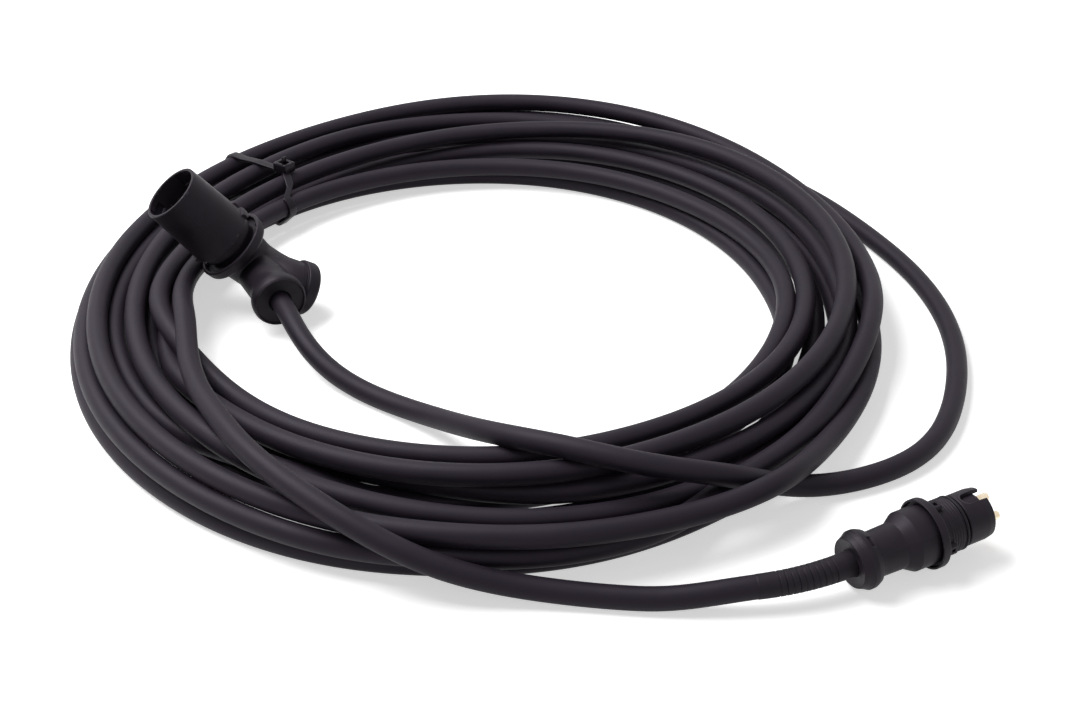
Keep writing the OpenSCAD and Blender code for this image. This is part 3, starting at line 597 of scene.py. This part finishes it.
def armSolid():
    a, length = arm, arm["length"]
    rim, floor = length - a["cupRim"], length - a["recessDepth"]
    return armPlace(latheSolid([
        (0.01, 0, 0), (a["waist"] + 0.5, 0, 1), (a["waist"], rim - a["cupFlare"], 2.2), (a["cup"], rim, 1.2),
        (a["cup"], length - 1.4, 0.8), (a["lip"], length, 0.3), (a["recess"], length, 0.2),
        (a["recess"], floor, 0.5), (a["hole"], floor, 0.4), (a["hole"], length - a["holeDepth"], 0.4),
        (0.01, length - a["holeDepth"], 0)]))


# The bent arm and the thick cap that closes it. The path's middle point pulls the bend. Radii
# are at distances along the arm, which ends where the cap begins.
tail = {"path": [(-94.8, 11.7, 16), (-81, -0.3, 15.1), (-72.9, 3.4, 9.5)],
        "radii": [(0, 10.2), (8, 9.6), (13, 9.4), (18, 9.8)], "overlap": 2.5,
        "capThick": 5.6, "capRadius": 11.1, "capGroove": 9.5}
tailStart, tailBend, tailEnd = (np.array(spot, float) for spot in tail["path"])


def tailSolid():
    # A quadratic curve over the three points of the path, with circles round it.
    t = np.linspace(0, 1, 160)[:, None]
    line = (1 - t)**2 * tailStart + 2 * t * (1 - t) * tailBend + t**2 * tailEnd
    walked = walkAlong(line)
    kept = walked < walked[-1] - tail["capThick"] + tail["overlap"]
    radii = np.interp(walked[kept], *np.array(tail["radii"]).T)
    return tubeSolid(line[kept], *tubeFrames(line[kept]), radii, 64)


# Housing: flange, neck and joint, with the two arms. They cross each other and are melted into
# one moulding: crossing solids become one skin, and smoothing rounds off the joins.
housing = {"flange": 15.6, "flangeThick": 3.4, "dish": 14, "dishRim": 1.3, "dishFloor": -1.2,
           "hub": 10.7, "hubHeight": 8, "joint": 10, "neck": 11,
           "stopTop": 0.6, "stopInner": 12.9, "stopOuter": 14.5, "stopStarts": (-16, 53), "stopWidth": 8,
           "voxel": 0.34, "smooth": 4}


def makeHousing():
    h = housing
    body = latheSolid([(0.01, -14, 0), (h["joint"], -14, 1), (h["neck"], -h["flangeThick"] - 0.6, 1),
                       (h["flange"] - 0.5, -h["flangeThick"], 1.3), (h["flange"], h["dishRim"], 0.7),
                       (h["dish"], h["dishRim"], 0.3), (h["dish"] - 0.2, h["dishFloor"], 0.4),
                       (h["hub"], h["dishFloor"], 0.4), (h["hub"], h["hubHeight"], 0.4),
                       (0.01, h["hubHeight"], 0)])
    lean = np.radians(np.linspace(-88, 88, 24))[:, None]
    ball = aroundAxis(h["joint"] * np.cos(lean) + np.zeros(48),
                      h["joint"] * np.sin(lean) - coupler["jointDepth"], evenAngles(48))
    solids = [body, (ball.reshape(-1, 3), gridQuads(24, 48))]
    for third in (0, 120, 240):
        for start in h["stopStarts"]:
            solids.append(sectorSolid(h["stopInner"], h["stopOuter"], h["dishFloor"] - 0.4, h["stopTop"],
                                      third + start, third + start + h["stopWidth"]))
    solids = [(couplerPlace(points), quads) for points, quads in solids] + [armSolid(), tailSolid()]
    piece = makePiece("housing", joinSolids(solids), "connector_shell", ["socket_housing"])
    remesh = piece.modifiers.new("one_skin", "REMESH")
    remesh.mode, remesh.voxel_size, remesh.use_smooth_shade = "VOXEL", h["voxel"] * mm, True
    smooth = piece.modifiers.new("soft_joins", "SMOOTH")
    smooth.factor, smooth.iterations = 0.5, h["smooth"]


def makeTailCap():
    # A narrow groove behind the cap, both of its edges rounded, and a slightly domed face.
    thick, wide, groove = tail["capThick"], tail["capRadius"], tail["capGroove"]
    points, quads = latheSolid([(0.01, -1, 0), (groove, -1, 0.1), (groove, 0, 0.2), (wide, 0.1, 0.8),
                                (wide, thick, 1.5), (wide - 3, thick + 0.2, 0.8), (0.01, thick + 0.6, 0)])
    axis = (tailEnd - tailBend) / np.linalg.norm(tailEnd - tailBend)
    level = np.cross(axis, [0, 0, 1])
    level /= np.linalg.norm(level)
    basis = np.stack([level, np.cross(axis, level), axis])
    makePiece("blanking_cap", (points @ basis + tailEnd - thick * axis, quads), "connector_shell",
              ["blanking_plug", "blanking_seal"], 50)


def makeGland():
    # A soft ring pressed into the cup round the cord, a washer over it and the cup's thin lip.
    length, recess, lip = arm["length"], arm["recess"], arm["lip"]
    ring = latheSolid([(3.9, 0, 0.2), (6.6, 0, 0.2), (6.6, 3.4, 0.6), (5.4, 3.9, 0.5), (3.9, 3.2, 0.5)], 64)
    makePiece("gland", armPlace(ring, length - 6.4), "seal_rubber", ["branch_gland_seal"])
    edge = latheSolid([(recess - 0.1, -2, 0.1), (lip - 0.1, -2, 0.1), (lip - 0.1, 0.15, 0.2),
                       (recess - 0.1, 0.15, 0.2)])
    makePiece("cup_lip", armPlace(edge, length), "connector_shell", ["branch_gland_washer"])
    washer = latheSolid([(4.7, 0, 0.1), (9.6, 0, 0.1), (9.6, 0.3, 0.1), (6.2, 0.2, 0.1), (4.7, 0.2, 0.1)], 72)
    makePiece("gland_washer", armPlace(washer, length - arm["recessDepth"] - 0.1), "seal_rubber",
              ["branch_gland_washer"])


makeHousing()
makeTailCap()
makeGland()
print("housing made")


# Sleeve: a thin conical tube with a rounded mouth. Its outline is carried round the axis while
# the radius grows at the ears and at the parting line, the foot drops at the teeth, and the
# bore widens at the bayonet slots.
sleeve = {"foot": 2.25, "mouth": 34.65, "bore": 10.8, "relief": 11.1, "neck": 11.8, "step": 6.2, "base": 13.3,
          "rim": 12.3, "toothWidth": 12, "toothDepth": 1.85, "partingLines": (93, 273), "partingHeight": 0.1,
          "slotWidth": 20, "slotDepth": 6.6, "slotCut": 0.45, "sides": 380,
          # Each ear: its middle in degrees, its width, its lowest and highest point, its radius.
          "ears": [(180, 26, 4.4, 8.1, 14.4), (193, 10, 9.7, 12.3, 14.1), (4, 20, 4.6, 7.4, 14.3)]}


def makeSleeve():
    s = sleeve
    degrees = evenAngles(s["sides"])
    bore, neck, mouth = s["bore"], s["neck"], s["mouth"]
    loop = filletLoop([(neck, s["foot"], 0.4), (neck, s["step"] - 0.4, 0.3), (s["base"], s["step"], 0.3),
                       (s["rim"], mouth, 0.35), (bore + 0.3, mouth, 0.35), (bore, mouth - 9, 0.5),
                       (s["relief"], mouth - 11.2, 0.5), (s["relief"], 8, 0.4), (bore, 7.8, 0.2),
                       (bore, s["foot"], 0.3)], 0.4)
    across, up = loop[:, :1] + 0 * degrees, loop[:, 1:] + 0 * degrees
    outside = across > 11.9  # the bore stays inside this radius and the skin outside it
    for middle, width, low, high, radius in s["ears"]:
        ear = angleWindow(degrees, middle, width, 1.4) * window(up, (low + high) / 2, high - low, 0.35)
        across = across + ear * outside * (radius - across)
    seam = sum(angleWindow(degrees, at, 0.6, 0.9) for at in s["partingLines"])
    across = across + s["partingHeight"] * seam * outside * window(up, 18, 24, 2)
    thirds = (0, 120, 240)
    slots = sum(angleWindow(degrees, third, s["slotWidth"], 1) for third in thirds)
    legs = sum(angleWindow(degrees, third - 22, 2 * s["slotWidth"], 1) for third in thirds)
    # Each slot runs down from the mouth and turns aside into a leg at its foot.
    slotFloor = mouth - s["slotDepth"]
    cut = np.maximum(slots * (up > slotFloor), legs * window(up, slotFloor + 1.9, 3.2, 0.4)) * (across < 11.5)
    across = across + s["slotCut"] * np.clip(cut, 0, 1) * (up < mouth - 0.5)
    tooth = sum(angleWindow(degrees, third, s["toothWidth"], 0.8) for third in thirds)
    foot = np.clip((s["foot"] + 0.7 - up) / 0.7, 0, 1)
    up = up - s["toothDepth"] * tooth * foot * (across > 12)
    makePiece("sleeve", shapedSolid(across, up, degrees, couplerPlace), "connector_shell",
              ["coupling_sleeve"], 42, "sleeve")


makeSleeve()
print("sleeve made")


# Plug body: a thick collar with a rim, a waist, a short cone and a straight barrel. The collar
# has a short slot and a scored line, and two parting lines run along the rest. Pairs are the
# radius and height of a corner.
plugShell = {"hole": 4.62, "dish": (5.4, 0.5), "backEdge": (8.4, 0.05), "bevelEdge": (9.75, 3.1),
             "rim": 10.04, "rimFrom": 3.4, "rimTo": 5.0, "front": (9.25, 7.0), "waist": 7.7,
             "waistFront": 7.9, "cone": 17.6, "barrelStart": 21.4, "barrel": 10.2, "barrelEnd": 31.5,
             "length": 33, "seat": 9.3, "hollow": 6.2, "partingLines": (232, 52), "partingHeight": 0.07,
             "scoreAt": 2.0, "scoreDepth": 0.12, "slotAt": 197, "slotWidth": 20, "slotHeight": 5.6,
             "slotDepth": 1.1, "sides": 280}


def makePlugShell():
    p = plugShell
    degrees = evenAngles(p["sides"])
    frontUp = p["front"][1]
    loop = filletLoop([(p["hole"], p["dish"][1] + 0.1, 0.1), (*p["dish"], 0.2), (*p["backEdge"], 0.2),
                       (*p["bevelEdge"], 0.12), (p["rim"], p["rimFrom"], 0.12), (p["rim"], p["rimTo"], 0.4),
                       (*p["front"], 0.25), (p["waist"] + 0.3, frontUp + 0.3, 0.4),
                       (p["waist"], frontUp + 2.4, 1.2), (p["waistFront"], p["cone"], 0.15),
                       (p["barrel"], p["barrelStart"], 0.15), (p["barrel"], p["barrelEnd"], 0.4),
                       (p["seat"], p["barrelEnd"] + 0.3, 0.2), (p["seat"], p["length"], 0.3),
                       (p["hollow"], p["length"], 0.2), (p["hollow"], 4, 0.3), (p["hole"], 3, 0.3)], 0.4)
    across, up = loop[:, :1] + 0 * degrees, loop[:, 1:] + 0 * degrees
    # Marks on the collar go only where the shell is wider than 9 mm, parting lines past the collar.
    slot = angleWindow(degrees, p["slotAt"], p["slotWidth"], 1.5) * window(up, p["slotHeight"], 0.8, 0.3)
    across = across - p["slotDepth"] * slot * (across > 9)
    across = across - p["scoreDepth"] * window(up, p["scoreAt"], 0.25, 0.3) * (across > 9)
    seam = sum(angleWindow(degrees, at, 0.8, 1.2) for at in p["partingLines"])
    across = across + p["partingHeight"] * seam * (up > 8) * (across > 7.4)
    return makePiece("plug_body", shapedSolid(across, up, degrees, plugPlace), "connector_shell",
                     ["plug_shell"], 28)


# Lug ring: a web round the seat with a thin skirt that stands clear of the barrel, and four
# small lugs on its face, each with a square eye.
lugRing = {"outer": 12, "bore": 11.2, "seat": 9.2, "back": 28.1, "web": 29.7, "face": 30.9,
           "lugs": (0, 90, 181, 270), "lugWidth": 3.4, "lugRadius": 11.4, "lugDepth": 3.3, "lugHeight": 2.4,
           "eye": 1.1, "eyeDepth": 0.9, "markAt": (214, 218)}


def eyeBlock(width, depth, height, eye):
    # A square frame with rounded edges: a small rounded section carried round a square path.
    path, section = np.radians(evenAngles(64)), np.radians(evenAngles(16))
    wall = (min(width, depth) - eye) / 4
    outX, outZ = squared(np.cos(section), 0.4) * wall, squared(np.sin(section), 0.4) * height / 2
    x = squared(np.cos(path), 0.28)[:, None] * (width / 2 - wall + outX[None])
    y = squared(np.sin(path), 0.28)[:, None] * (depth / 2 - wall + outX[None])
    points = np.stack([x, y, outZ[None] + 0 * x], axis=-1)
    return points.reshape(-1, 3), gridQuads(64, 16, closedRows=True)[:, ::-1]


def makeLugRing():
    g = lugRing
    face, outer, radius, depth = g["face"], g["outer"], g["lugRadius"], g["lugDepth"]
    solids = [latheSolid([(g["bore"], g["back"], 0.35), (outer, g["back"], 0.4), (outer, face, 0.45),
                          (g["seat"], face, 0.3), (g["seat"], g["web"], 0.2), (g["bore"], g["web"], 0.5)],
                         200)]
    for angle in g["lugs"]:
        # The frame lies with its eye pointing outward: its own depth becomes the plug's axis.
        # A floor behind the eye makes it a blind pocket.
        block, quads = eyeBlock(g["lugWidth"], depth, g["lugHeight"], g["eye"])
        local = np.stack([block[:, 2] + radius - g["lugHeight"] / 2, block[:, 0],
                          block[:, 1] + face + depth / 2 - 0.25], axis=-1)
        solids.append((local @ aimMatrix(angle, 0).T, quads))
        solids.append(sectorSolid(9.0, radius - g["eyeDepth"], face - 0.2, face + depth - 0.5,
                                  angle - 9, angle + 9, 0.2))
    solids.append(sectorSolid(outer - 0.4, outer + 0.12, 29.0, 29.8, *g["markAt"], 0.1))
    points, quads = joinSolids(solids)
    return makePiece("lug_ring", (plugPlace(points), quads), "connector_shell", ["plug_lug_ring"], 40)


# Nose: a band with fine turned lines, a groove for the seal, and a smooth tube whose top is cut
# open by a keyway with a round end.
nose = {"start": 32.6, "band": 9.3, "lines": 6, "firstLine": 33.6, "lineDepth": 0.2, "lineWidth": 0.28,
        "groove": 39.3, "grooveWidth": 2.2, "grooveRadius": 8, "tube": 8.85, "tip": 8.45, "taperStart": 48.9,
        "end": 51.4, "bore": 7.3, "hole": 4.0, "floor": 41, "keyCentre": 182, "keyWidth": 5.2, "keyEnd": 43.0,
        "keyFloor": (6.45, 7.35), "sides": 360}


def makeNose():
    n = nose
    start, groove, end, tube = n["start"], n["groove"], n["end"], n["tube"]
    back = groove + n["grooveWidth"]
    heights = np.concatenate([
        np.arange(start, groove - 0.35, 0.09), groove + np.array([-0.3, -0.1, 0, 0.05, 0.6]),
        back + np.array([-0.6, -0.05, 0, 0.1, 0.35]), np.linspace(42.4, end - 0.3, 32)])
    radius = np.interp(heights,
                       [start, groove - 0.3, groove, groove + 0.05, back - 0.05, back, back + 0.35,
                        n["taperStart"], end],
                       [n["band"], n["band"], n["band"] - 0.25, n["grooveRadius"], n["grooveRadius"],
                        tube - 0.25, tube, tube, n["tip"]])
    spacing = (groove - 33.2) / n["lines"]
    for k in range(n["lines"]):
        radius = radius - n["lineDepth"] * notch(heights, n["firstLine"] + k * spacing, n["lineWidth"])
    # The tube stops at its end, or at the keyway's half-round end where the angle is inside it.
    degrees = evenAngles(n["sides"])
    aside = np.radians((degrees - n["keyCentre"] + 180) % 360 - 180) * tube
    half = n["keyWidth"] / 2
    keyEnd = n["keyEnd"] + half - np.sqrt(np.clip(half**2 - aside**2, 0, None))
    stop = np.where(np.abs(aside) < half, keyEnd, end)
    # Outside of the tube up to its stop, over the lip, and down the bore.
    outer = np.minimum(heights[:, None], stop[None] - 0.3)
    outerRadius = np.interp(outer, heights, radius)
    lipRadius = np.array([-0.03, -0.12, -0.3])[:, None] + np.interp(stop - 0.2, heights, radius)[None]
    lipHeight = stop[None] - np.array([0.12, 0.03, 0])[:, None]
    innerRadius = n["bore"] + np.array([0.3, 0.1, 0, 0, 0])[:, None] + 0 * stop
    innerHeight = np.maximum(stop[None] - np.array([0, 0.1, 0.3, 3, 6])[:, None], n["floor"])
    foot = np.array([[n["bore"], n["floor"]], [n["hole"], n["floor"]], [n["hole"], start]])
    across = np.concatenate([outerRadius, lipRadius, innerRadius, foot[:, :1] + 0 * stop])
    up = np.concatenate([outer, lipHeight, innerHeight, foot[:, 1:] + 0 * stop])
    skin = shapedSolid(across, up, degrees, plugPlace)
    # The keyway has a floor of its own, short of the end.
    points, quads = sectorSolid(*n["keyFloor"], n["floor"], end - 2, n["keyCentre"] - 24,
                                n["keyCentre"] + 24, 0.3, 40)
    return makePiece("plug_nose_skin", joinSolids([skin, (plugPlace(points), quads)]), "connector_shell",
                     ["plug_nose"], 35)


# Seal ring in its groove, and the four pins with domed tips.
seal = {"radius": 8.85, "thick": 0.55, "at": 40.0}
pins = {"circle": 4.8, "radius": 1.5, "root": 30, "tips": (54.6, 55.2, 54.0, 54.0), "dome": 0.8, "first": 172}


def makeSeal():
    # A small circle carried round the plug's axis.
    turn = np.radians(evenAngles(20))[:, None]
    degrees = evenAngles(160)
    across = seal["radius"] + seal["thick"] * np.cos(turn) + 0 * degrees
    up = seal["at"] + seal["thick"] * np.sin(turn)
    return makePiece("seal_ring", shapedSolid(across, up, degrees, plugPlace), "seal_rubber",
                     ["plug_o_ring"])


def makePins():
    radius, root = pins["radius"], pins["root"]
    solids = []
    for k, tip in enumerate(pins["tips"]):
        points, quads = latheSolid([(0.01, root, 0), (radius, root, 0.1), (radius, tip, pins["dome"]),
                                    (0.01, tip, 0)], 40)
        angle = math.radians(pins["first"] + 90 * k)
        centre = [pins["circle"] * math.cos(angle), pins["circle"] * math.sin(angle), 0]
        solids.append((plugPlace(points + centre), quads))
    return makePiece("pin_set", joinSolids(solids), "contact_brass", ["plug_pins"], 50)


# Boot: a soft sleeve along the cord's last bend with fine cuts round it, and a stepped disc
# that fills the collar's recess. The disc's pairs are a radius and a height above the rim.
boot = {"length": 32, "root": 4.4, "tip": 4.15, "end": 3.98, "inside": 2.4, "cutFirst": 6.5, "cutStep": 2.05,
        "cuts": 10, "cutDepth": 0.32, "cutWidth": 0.32, "disc": [(4.6, 2.5), (4.6, 6.0)]}


def makeBoot():
    b = boot
    root, tip, length = b["root"], b["tip"], b["length"]
    s = np.arange(length, -b["inside"], -0.1)
    radius = np.interp(s, [-b["inside"], 3, 8, 27, length - 0.4, length],
                       [root + 0.1, root, root - 0.05, tip, tip - 0.05, b["end"]])
    for k in range(b["cuts"]):
        radius = radius - b["cutDepth"] * notch(s, b["cutFirst"] + k * b["cutStep"], b["cutWidth"])
    discRadius, discHeight = np.array(b["disc"]).T
    s, radius = np.concatenate([s, -discHeight]), np.concatenate([radius, discRadius])
    centres = np.where(s[:, None] > 0, bootCentre(s), np.stack([0 * s, 0 * s, -s], axis=-1))
    turn = np.clip(s, 0, None) / plug["bootBend"]
    # Rings stand square to the arc: one side lies along X, the other turns with the arc.
    side = np.stack([1 + 0 * s, 0 * s, 0 * s], axis=-1)
    up = np.stack([0 * s, np.cos(turn), np.sin(turn)], axis=-1)
    points, quads = tubeSolid(centres, side, up, radius, 96)
    return makePiece("boot", (plugPlace(points), quads), "boot_rubber", ["strain_relief"], 50)


plugPieces = [makePlugShell(), makeLugRing(), makeNose(), makeSeal(), makePins(), makeBoot()]
print("plug made")


# Cable tie: a strap round the outermost strands where they cross its plane, with a locking
# head and the cut end of its tail.
tie = {"angle": 138, "width": 3.8, "thick": 1.2, "clear": 0.15, "headAt": 127.6, "headLength": 7,
       "headWidth": 6.4, "headHeight": 4.6, "window": 2.6, "stub": 2.4, "points": 260, "sides": 24,
       # How far the strap strays sideways, from the inside of the coil over the head to the outside.
       "stray": [(113.5, -8), (118.5, -1.5), (127.6, 3.5), (150, -2)]}


def tieLoop(centres):
    # Outline of the bundle: in each direction the strand that reaches furthest, plus a margin,
    # kept off the floor and resampled at an even step.
    way = np.radians(evenAngles(720))
    aim = np.stack([np.cos(way), np.sin(way)], axis=1)
    furthest = (centres @ aim.T).argmax(axis=0)
    hull = centres[furthest] + (cord["radius"] + tie["clear"] + tie["thick"] / 2) * aim
    hull[:, 1] = np.maximum(hull[:, 1], tie["thick"] / 2 + 0.1)
    hull = np.concatenate([hull, hull[:1]])
    walked = walkAlong(hull, 1e-9)
    return pointsAt(np.linspace(0, walked[-1], tie["points"] + 1)[:-1], hull, walked)


def makeTie():
    t = tie
    angle = math.radians(t["angle"])
    radial = np.array([math.cos(angle), math.sin(angle), 0])
    sideways = np.array([radial[1], -radial[0], 0])
    strayAt, stray = np.array(t["stray"]).T

    def place(flat, aside):
        # Out from the coil's centre and up, and aside from the strap's plane.
        return flat[..., :1] * radial + aside[..., None] * sideways + flat[..., 1:] * [0, 0, 1]

    # The strands, where they cross the askew plane of the strap.
    outward = cordLine @ radial
    aside = cordLine @ sideways - np.interp(outward, strayAt, stray)
    cross = np.flatnonzero((aside[:-1] * aside[1:] <= 0) & (outward[:-1] > 60))
    spots = (cordLine[cross] + cordLine[cross + 1]) / 2
    loop = tieLoop(np.stack([spots @ radial, spots[:, 2]], axis=1))
    ahead = np.roll(loop, -1, 0) - np.roll(loop, 1, 0)
    ahead /= np.linalg.norm(ahead, axis=1)[:, None]
    out = np.stack([ahead[:, 1], -ahead[:, 0]], axis=1)
    # The strap: a flat section with rounded edges carried round the outline. Its lower run
    # strays evenly from one end to the other.
    section = np.radians(evenAngles(t["sides"]))
    flat = loop[:, None] + (squared(np.cos(section), 0.3) * t["thick"] / 2)[None, :, None] * out[:, None]
    wide = squared(np.sin(section), 0.3) * t["width"] / 2
    under = np.interp(loop[:, 0], strayAt[[0, -1]], stray[[0, -1]])
    shift = np.where(out[:, 1] > 0, np.interp(loop[:, 0], strayAt, stray), under)
    strap = place(flat, wide[None] + shift[:, None])
    solids = [(strap.reshape(-1, 3), gridQuads(t["points"], t["sides"], closedRows=True))]
    # The head stands on the strap where the outline faces up nearest to the head's place.
    facing = np.abs(np.degrees(np.arctan2(out[:, 1], out[:, 0])) - 90)
    k = int(np.argmin(facing + np.abs(loop[:, 0] - t["headAt"]) * 2))
    base, onward, upward, height = loop[k], ahead[k], out[k], t["headHeight"]
    slope = (stray[-1] - stray[-2]) / (strayAt[-1] - strayAt[-2]) * onward[0]
    block, quads = eyeBlock(t["headWidth"], t["headLength"], height, t["window"])
    flatBlock = base + block[:, 1:2] * onward + (block[:, 2:] + height / 2 - 0.2) * upward
    solids.append((place(flatBlock, block[:, 0] + stray[-2] + slope * block[:, 1]), quads))
    # The strap's cut end stands up out of the window.
    tall = t["stub"] + height
    stub, stubQuads = latheSolid([(0.01, 0, 0), (1, 0, 0.1), (1, tall, 0.2), (0.01, tall, 0)], 24)
    flatStub = base + 0.5 * stub[:, 1:2] * onward + stub[:, 2:] * upward
    solids.append((place(flatStub, stub[:, 0] * 1.3 + stray[-2]), stubQuads))
    makePiece("tie", joinSolids(solids), "tie_nylon", ["cable_tie"], 45)


makeTie()
print("tie made")


# Floor, backdrop and lights: a white table under a wide soft lamp. Lamps are a place in metres,
# a size and a power in watts, and all of them aim at the middle of the coil.
stage = {"floorSize": 6, "floorCentre": (0, 1.2, 0), "floorGlow": 0.55, "worldLight": 0.16, "worldSeen": 1.05,
         "lamps": {"top_lamp": ((-0.5, 0.15, 0.9), (0.8, 0.7), 15.5),
                   "front_lamp": ((0.4, -0.9, 0.7), (0.6, 0.4), 0.5)}}


def plainSight(tree):
    # 1 for a ray from the camera, or one mirrored or passed on to it, and 0 for soft light.
    straight, mirrored, passed = (addNode(tree, "LightPath", give=f"Is {kind} Ray")
                                  for kind in ("Camera", "Glossy", "Transmission"))
    either = addNode(tree, "Math", {0: straight, 1: mirrored}, operation="MAXIMUM")
    return addNode(tree, "Math", {0: either, 1: passed}, operation="MAXIMUM")


half = stage["floorSize"] / 2
corners = [[-half, -half, 0], [half, -half, 0], [half, half, 0], [-half, half, 0]]
floor = makeMesh("floor", corners, [[0, 1, 2, 3]])
floor.location = stage["floorCentre"]
paper = bpy.data.materials.new("white_paper")
tree = emptyTree(paper)
# The camera, and metal or glass that mirrors the table, see white paper with the object's
# shadow on it. Light that the table throws back on the object comes from a dimmer grey.
seen = plainSight(tree)
shade = addNode(tree, "Mix", {0: seen, 6: (0.2, 0.2, 0.2, 1), 7: (0.95, 0.95, 0.95, 1)}, 2,
                data_type="RGBA")
matt = addNode(tree, "BsdfDiffuse", {"Color": shade})
glow = addNode(tree, "Math", {0: seen, 1: stage["floorGlow"]}, operation="MULTIPLY")
lift = addNode(tree, "Emission", {"Color": (1, 1, 1, 1), "Strength": glow})
both = addNode(tree, "AddShader", {0: matt, 1: lift})
addNode(tree, "OutputMaterial", {"Surface": both})
floor.data.materials.append(paper)

world = bpy.data.worlds.new("room")
bpy.context.scene.world = world
tree = emptyTree(world)
strength = addNode(tree, "MapRange", {"Value": plainSight(tree), "To Min": stage["worldLight"],
                                      "To Max": stage["worldSeen"]})
sky = addNode(tree, "Background", {"Color": (1, 1, 1, 1), "Strength": strength})
addNode(tree, "OutputWorld", {"Surface": sky})

for name, (place, size, power) in stage["lamps"].items():
    lampData = bpy.data.lights.new(name, "AREA")
    lampData.shape, lampData.size, lampData.size_y, lampData.energy = "RECTANGLE", *size, power
    lamp = bpy.data.objects.new(name, lampData)
    bpy.context.scene.collection.objects.link(lamp)
    lamp.location = place
    lamp.rotation_euler = (math.atan2(math.hypot(place[0], place[1]), place[2]), 0,
                           math.atan2(place[0], -place[1]))
bpy.context.scene.view_settings.view_transform = "Standard"
print("stage lit")
